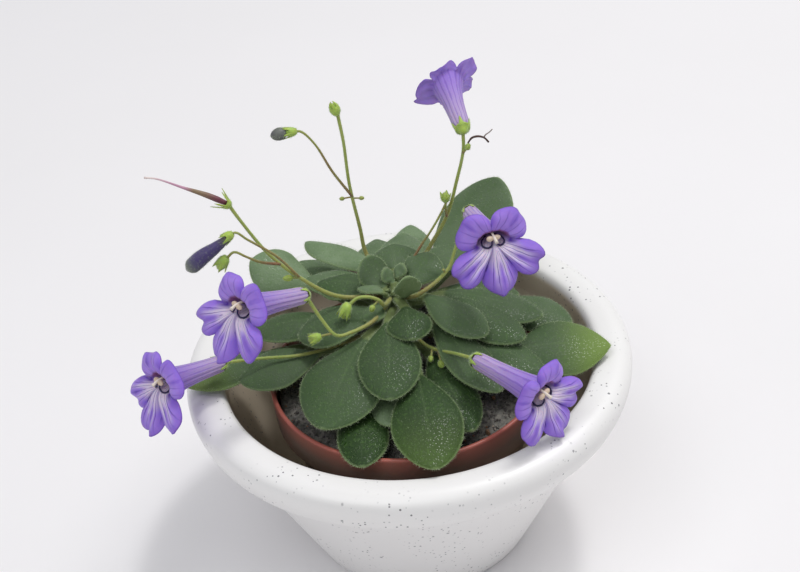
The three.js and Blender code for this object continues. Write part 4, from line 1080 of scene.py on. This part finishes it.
def petal_rings(flower, seed):
    """Middle line of the petal sheet, ring by ring: radius, height and lean of every column."""
    length = np.linalg.norm(array(*flower["throat"]) - array(*flower["base"]))
    columns = limb_columns(flower)
    reaches, opening = flower.get("reaches", [1] * 5), flower.get("opening", 1)
    rings = []
    for share in TUBE_SHARES:
        ring, closed = [], math.sqrt(1 - 0.8 * (1 - min(1, share / 0.07)) ** 2)
        for column in columns:
            pinch = THROAT_PINCH * share**8 * max(0, math.sin(fanned(column, 0))) ** 1.5
            ring.append((closed * (tube_radius(share) - 0.4) - pinch, share * length, 4 + 22 * share**6))
        rings.append(ring)
    outs = list(TUBE_SHARES)
    steps = np.linspace(0, 1, LIMB_STEPS + 1)
    for before, share in zip(steps, steps[1:]):
        ring = []
        for k, column in enumerate(columns):
            angle = lerp(column["lean"][0], column["lean"][1], (before + share) / 2) * opening
            angle += 7 * math.sin(2.3 * seed + 1.9 * column["lobe"]) * share * share
            ragged = 1 + 0.025 * math.sin(5 * column["across"] + 2.4 * column["lobe"] + 1.7 * seed)
            step = (share - before) * column["reach"] * reaches[column["lobe"]] * ragged
            radius, height, _ = rings[-1][k]
            radius += step * math.sin(math.radians(angle))
            height += step * math.cos(math.radians(angle))
            ring.append((radius, height, angle))
        rings.append(ring)
        outs.append(1 + share)
    return columns, rings, outs


def fold(column, out, seed):
    """How far a spot of the limb stands out of its smooth sheet: pleats along the lobe and waves
    on its edge, in millimetres."""
    limb = max(0, out - 1)
    pleat = 0.22 * math.cos(column["off"] * 3 * math.pi) * math.sin(math.pi * min(1, limb * 1.1 + 0.1))
    crease = -0.35 * math.exp(-((column["off"] / 0.14) ** 2)) * limb * (1 - 0.5 * limb)
    wave = 0.55 * limb**2 * math.sin(4 * column["across"] + 2.7 * column["lobe"] + 1.3 * seed)
    wave += 0.2 * limb**3 * math.sin(9 * column["across"] + 1.9 * column["lobe"] + 2.2 * seed)
    return pleat + crease + wave


def palate(turn, out):
    """How far the throat is closed: its floor stands up inside the mouth, its roof a bit deeper."""
    below, above = max(0, -math.sin(turn)), max(0, math.sin(turn))
    floor = PALATE * below * math.exp(-(((out - 0.9) / 0.34) ** 2))
    roof = ROOF * above * math.exp(-(((out - 0.78) / 0.18) ** 2))
    return floor + roof


def corolla(flower, seed):
    columns, rings, outs = petal_rings(flower, seed)
    sheets = {-1: [], 1: []}
    values = {name: {-1: [], 1: []} for name in ("off", "out", "lower", "inner", "dark", "hairs")}
    for ring, out in zip(rings, outs):
        for face in (-1, 1):
            points = []
            for column, (radius, height, angle) in zip(columns, ring):
                tilt, turn = math.radians(angle), fanned(column, max(0, out - 1))
                shift = face * PETAL / 2 * (1 if out < 1.9 else 0.5) + fold(column, out, seed)
                if face > 0:
                    shift += palate(turn, out)
                r, z = radius - math.cos(tilt) * shift, height + math.sin(tilt) * shift
                points.append((r * math.cos(turn), r * math.sin(turn), z))
            sheets[face].append(points)
            shift = [0.14 * math.sin(3.7 * seed + 2.1 * c["lobe"]) * (1 - c["off"] ** 2) for c in columns]
            values["off"][face].append([abs(c["across"] + more) for c, more in zip(columns, shift)])
            values["out"][face].append([out] * len(columns))
            values["lower"][face].append([c["lower"] for c in columns])
            values["inner"][face].append([1 if face > 0 else 0] * len(columns))
            values["dark"][face].append([c["dark"] for c in columns])
            hairy = 1 if face < 0 and out < 1.4 else 0
            values["hairs"][face].append([hairy] * len(columns))
    rings = sheets[-1] + sheets[1][::-1]
    values = {name: pair[-1] + pair[1][::-1] for name, pair in values.items()}
    return placed(rings, flower_place(flower)), values


print(len(LOBE_COLUMNS) * 5, "columns round a flower")

# %% [markdown]
# The petal colours change along and across each lobe. The three lower lobes have a violet middle
# and edge with a broad uneven pale stripe between them, a few thin dark veins, and violet ends. The
# two upper ones are evenly violet, with soft veins. There is a dark indigo patch at the fold beside
# the throat, the roof of the throat is maroon, its floor is pale lilac, and the tube is greyer, with
# darker lines along it. The backs of the lobes are a paler violet, partly their own colour and partly
# painted light, as if lit from behind.

# %% Mix the petal violet
def petal_violet():
    paint = Finish(
        "petal_violet", roughness=0.6, sheen_weight=0.15, sheen_roughness=0.5, subsurface_weight=0.12,
        subsurface_scale=0.001, specular_ior_level=0.25,
    )
    off, out, lower = paint.value("off"), paint.value("out"), paint.value("lower")
    inner, dark = paint.value("inner"), paint.value("dark")
    wobble = paint.maths("MULTIPLY", paint.maths("SUBTRACT", paint.noise(260, 2), 0.5), 0.24)
    bent = paint.maths("ADD", off, wobble)
    violet = paint.blend(paint.noise(260, 3), rgb(150, 114, 220), rgb(180, 146, 238))

    lines = paint.fade(paint.maths("COSINE", paint.maths("MULTIPLY", bent, 6 * math.pi)), 0.7, 1)
    from_stripe = paint.maths("ABSOLUTE", paint.maths("SUBTRACT", bent, 0.38))
    patchy = paint.fade(paint.noise(150, 2), 0.35, 0.6, 0.3, 1)
    stripe = paint.maths("MULTIPLY", paint.fade(from_stripe, 0.05, 0.24, 0.95, 0), patchy)
    stripe = paint.maths("MULTIPLY", stripe, paint.fade(out, 1.25, 1.95, 1, 0.1))
    face = paint.blend(paint.maths("MULTIPLY", stripe, lower), violet, rgb(232, 220, 246))
    throat = paint.maths("MULTIPLY", paint.fade(out, 1.05, 1.5, 0.95, 0), lower)
    face = paint.blend(throat, face, rgb(230, 216, 234))
    band = paint.maths("MULTIPLY", paint.fade(bent, 0.04, 0.18, 0.55, 0), paint.fade(out, 1.2, 1.45))
    edge = paint.maths("MULTIPLY", paint.fade(bent, 0.68, 0.95, 0, 0.5), paint.fade(out, 1.2, 1.5))
    ends = paint.fade(out, 1.6, 1.97, 0, 0.45)
    deeper = paint.maths("MAXIMUM", ends, paint.maths("MAXIMUM", band, edge))
    face = paint.blend(deeper, face, rgb(120, 82, 204))
    reach = paint.maths("MULTIPLY", paint.fade(out, 1.5, 1.95, 0.75, 0.1), paint.fade(out, 0.8, 1.1, 0.3, 1))
    vein = paint.maths("MULTIPLY", paint.maths("MULTIPLY", lines, reach), paint.fade(lower, 0, 1, 0.5, 1))
    face = paint.blend(vein, face, rgb(86, 54, 166))
    roof = paint.maths("MULTIPLY", paint.fade(lower, 0.1, 0.6, 1, 0), paint.fade(out, 0.98, 1.08, 1, 0))
    maroon = paint.blend(paint.fade(out, 0.8, 0.95), rgb(176, 140, 190), rgb(130, 60, 104))
    face = paint.blend(paint.maths("MULTIPLY", roof, 0.85), face, maroon)
    beside = paint.maths("MULTIPLY", paint.fade(off, 0.6, 0.95), paint.fade(out, 1.05, 1.5, 1, 0))
    beside = paint.maths("MULTIPLY", beside, paint.fade(out, 0.9, 1.05))
    face = paint.blend(paint.maths("MULTIPLY", beside, dark), face, rgb(84, 48, 156))

    tube_lines = paint.fade(paint.maths("COSINE", paint.maths("MULTIPLY", bent, 4 * math.pi)), 0.3, 1)
    tube = paint.blend(paint.fade(out, 0, 1), rgb(190, 168, 206), rgb(154, 122, 212))
    back = paint.blend(paint.maths("MULTIPLY", tube_lines, 0.5), tube, rgb(112, 78, 178))
    # painted light: the backs of the lobes are painted a paler violet than the tube
    back = paint.blend(paint.fade(out, 1.05, 1.5), back, rgb(178, 148, 236))
    colour = paint.blend(inner, back, face)
    rim = paint.fade(out, 1.94, 1.99, 0, 0.5)
    colour = paint.blend(rim, colour, rgb(96, 62, 172))
    height = paint.maths("ADD", paint.noise(900, 3), paint.maths("MULTIPLY", lines, -0.6))
    return paint.end(base_color=colour, normal=paint.bump(height, 0.2, 0.0003))


PETAL_VIOLET = petal_violet()
for seed, flower in enumerate(FLOWERS):
    rings, values = corolla(flower, seed)
    petals = Skin()
    petals.add(rings, **values)
    piece = petals.piece(flower["name"] + "_petals", [PETAL_VIOLET])
    grow_hairs(piece, WHITE_HAIR, 1.2, 0.35, 200 + seed, 0.7, 0.018)
    kept(piece, "corolla", flower["name"] + "_corolla")

# %% [markdown]
# ## Stamens and styles
# In the mouth of each flower two dark blue filaments bend down, forward and up again, and hold a
# pair of cream anthers under the roof. A pale style reaches out beside them. Each is a curved
# tube with its own thickness, and all of one flower's are one piece.

# %% Make the stamens
def plain_paint(name, first, second, roughness, scale=800):
    paint = Finish(name, roughness=roughness)
    colour = paint.blend(paint.noise(scale, 3), first, second)
    return paint.end(base_color=colour, normal=paint.bump(paint.noise(2200, 2), 0.3, 0.0003))


FILAMENT = plain_paint("filament_navy", rgb(22, 14, 58), rgb(40, 26, 88), 0.35)
ANTHER = plain_paint("anther_cream", rgb(206, 180, 152), rgb(232, 214, 188), 0.6)
STYLE = plain_paint("style_pale", rgb(228, 216, 200), rgb(240, 230, 212), 0.5)
ACROSS_FLOWER = array([0, 0, 1], [0, 1, 0], [1, 0, 0])
for flower in FLOWERS:
    mouth = np.linalg.norm(array(*flower["throat"]) - array(*flower["base"]))
    place = flower_place(flower)
    inside = Skin()
    for side in (-1, 1):
        loop = [
            (1.2 * side, 0.6, mouth - 2.6), (2.7 * side, 0.1, mouth - 0.9), (2.8 * side, -0.7, mouth + 0.2),
            (1.8 * side, -1.1, mouth + 0.9), (0.8 * side, -0.6, mouth + 1.1), (0.5 * side, 0.6, mouth + 1),
        ]
        inside.add(placed(tube_rings(loop, [0.18, 0.22, 0.24, 0.22, 0.18], 8, 4), place), slot=0)
        anther = placed(bud_rings(2, 1.4), (array(0.85 * side, 1.2, mouth + 0.9), ACROSS_FLOWER))
        inside.add(placed(anther, place), slot=1)
    style = [(0.2, 2, mouth - 2.5), (0.1, 1.9, mouth), (0.1, 1.4, mouth + 1.6), (0.2, 0.6, mouth + 2.8)]
    inside.add(placed(tube_rings(style, [0.25, 0.3, 0.32, 0.38, 0.5], 10, 4), place), slot=2)
    piece = inside.piece(flower["name"] + "_inside", [FILAMENT, ANTHER, STYLE])
    kept(piece, "anther", flower["name"] + "_stamens")

# %% [markdown]
# ## Buds, fruit and dried style
# On the left hang a dark violet bud, shaped like a club, and a long thin fruit that fades from
# maroon through olive to pale pink. A small dusky bud sits at the back. By the top flower a style
# has dried to a brown curl.

# %% Make the buds and the fruit
def bud_violet():
    paint = Finish("bud_violet", roughness=0.5, sheen_weight=0.3)
    along = paint.value("along")
    colour = paint.blend(paint.noise(500, 3), rgb(56, 46, 98), rgb(80, 66, 120))
    colour = paint.blend(paint.fade(along, 0.55, 0.78), colour, rgb(108, 114, 104))
    colour = paint.blend(paint.fade(along, 0, 0.2, 0.8, 0), colour, rgb(104, 104, 76))
    return paint.end(base_color=colour, normal=paint.bump(paint.noise(1500, 2), 0.3, 0.0004))


def fruit_purple():
    paint = Finish("fruit_purple", roughness=0.5)
    along = paint.value("along")
    colour = paint.blend(paint.fade(along, 0.1, 0.35), rgb(112, 56, 72), rgb(134, 112, 84))
    colour = paint.blend(paint.fade(along, 0.38, 0.5), colour, rgb(196, 146, 170))
    colour = paint.blend(paint.fade(along, 0.55, 0.9), colour, rgb(230, 214, 208))
    return paint.end(base_color=colour, normal=paint.bump(paint.noise(1500, 2), 0.3, 0.0003))


def along_ring(rings):
    return np.linspace(0, 1, len(rings))


VIOLET_BUD = [
    (-41.9, -2.1, 101), (-45.5, -2.5, 98.6), (-49, -2.8, 96.5), (-52.3, -3, 94), (-53.5, -3.1, 93.2),
]
BUD_VIOLET = bud_violet()
club = Skin()
rings = tube_rings(VIOLET_BUD, [0.85, 1.25, 1.6, 1.9, 2.1, 2.05, 1.5, 0.5], 20)
club.add(rings, along=along_ring(rings), hairs=1)
piece = club.piece("violet_bud", [BUD_VIOLET])
grow_hairs(piece, WHITE_HAIR, 3, 0.5, 300, 0.6, 0.03)
kept(piece, "dark_bud", "bud_violet_left")

small = Skin()
rings = placed(bud_rings(4.2, 3.3, 18, 14), flower_axes((-27.2, 16, 119), (-1, -0.2, -0.1)))
small.add(rings, along=along_ring(rings) * 0.6 + 0.3, hairs=1)
dusky = plain_paint("bud_dusky", rgb(78, 74, 92), rgb(126, 132, 114), 0.5, 500)
piece = small.piece("small_dark_bud", [dusky])
grow_hairs(piece, WHITE_HAIR, 3, 0.5, 301, 0.6, 0.03)
kept(piece, "dark_bud", "bud_dark_back")

FRUIT = [(-41.6, 4.1, 107.3), (-46, 4.4, 109.9), (-52, 5, 112.6), (-58, 5.7, 115.3), (-61, 6, 115.8)]
pod = Skin()
rings = tube_rings(FRUIT, [0.6, 0.8, 0.75, 0.55, 0.34, 0.25, 0.22, 0.22, 0.3], 12)
pod.add(rings, along=along_ring(rings))
kept(pod.piece("young_fruit", [fruit_purple()]), "fruit", "fruit_left")

DRIED_ARC = [
    (20.9, 19.5, 109.3), (22, 19.5, 110.7), (23.6, 19.5, 111), (25.2, 19.5, 110.4), (26.3, 19.5, 109),
]
DRIED_CURL = [(25.1, 19.5, 110.5), (25.6, 19.4, 111.3), (26.6, 19.5, 111.9), (27.4, 19.5, 112.7)]
curl = Skin()
curl.add(tube_rings(DRIED_ARC, [0.22, 0.28, 0.3, 0.24, 0.26], 8))
curl.add(tube_rings(DRIED_CURL, [0.2, 0.16, 0.14], 6), slot=1)
dry = [
    plain_paint("dried_brown", rgb(64, 42, 40), rgb(92, 66, 56), 0.7),
    plain_paint("dried_grey", rgb(140, 124, 116), rgb(162, 150, 140), 0.8),
]
kept(curl.piece("dried_curl", dry), "dried", "dried_style")

# %% [markdown]
# ## Table
# The table is a plain pale surface. It isn't part of the object.

# %% Lay the table
def table_paint():
    paint = Finish("pale_table", roughness=0.9, specular_ior_level=0.1)
    colour = paint.blend(paint.noise(6, 4), rgb(240, 238, 238), rgb(246, 244, 245))
    return paint.end(base_color=colour)


table = bpy.data.meshes.new("table")
reach = 6.0
corners = [(-reach, -reach, 0), (reach, -reach, 0), (reach, reach, 0), (-reach, reach, 0)]
table.from_pydata(corners, [], [(0, 1, 2, 3)])
table.materials.append(table_paint())
floor = bpy.data.objects.new("table", table)
scene.collection.objects.link(floor)
print("table laid")
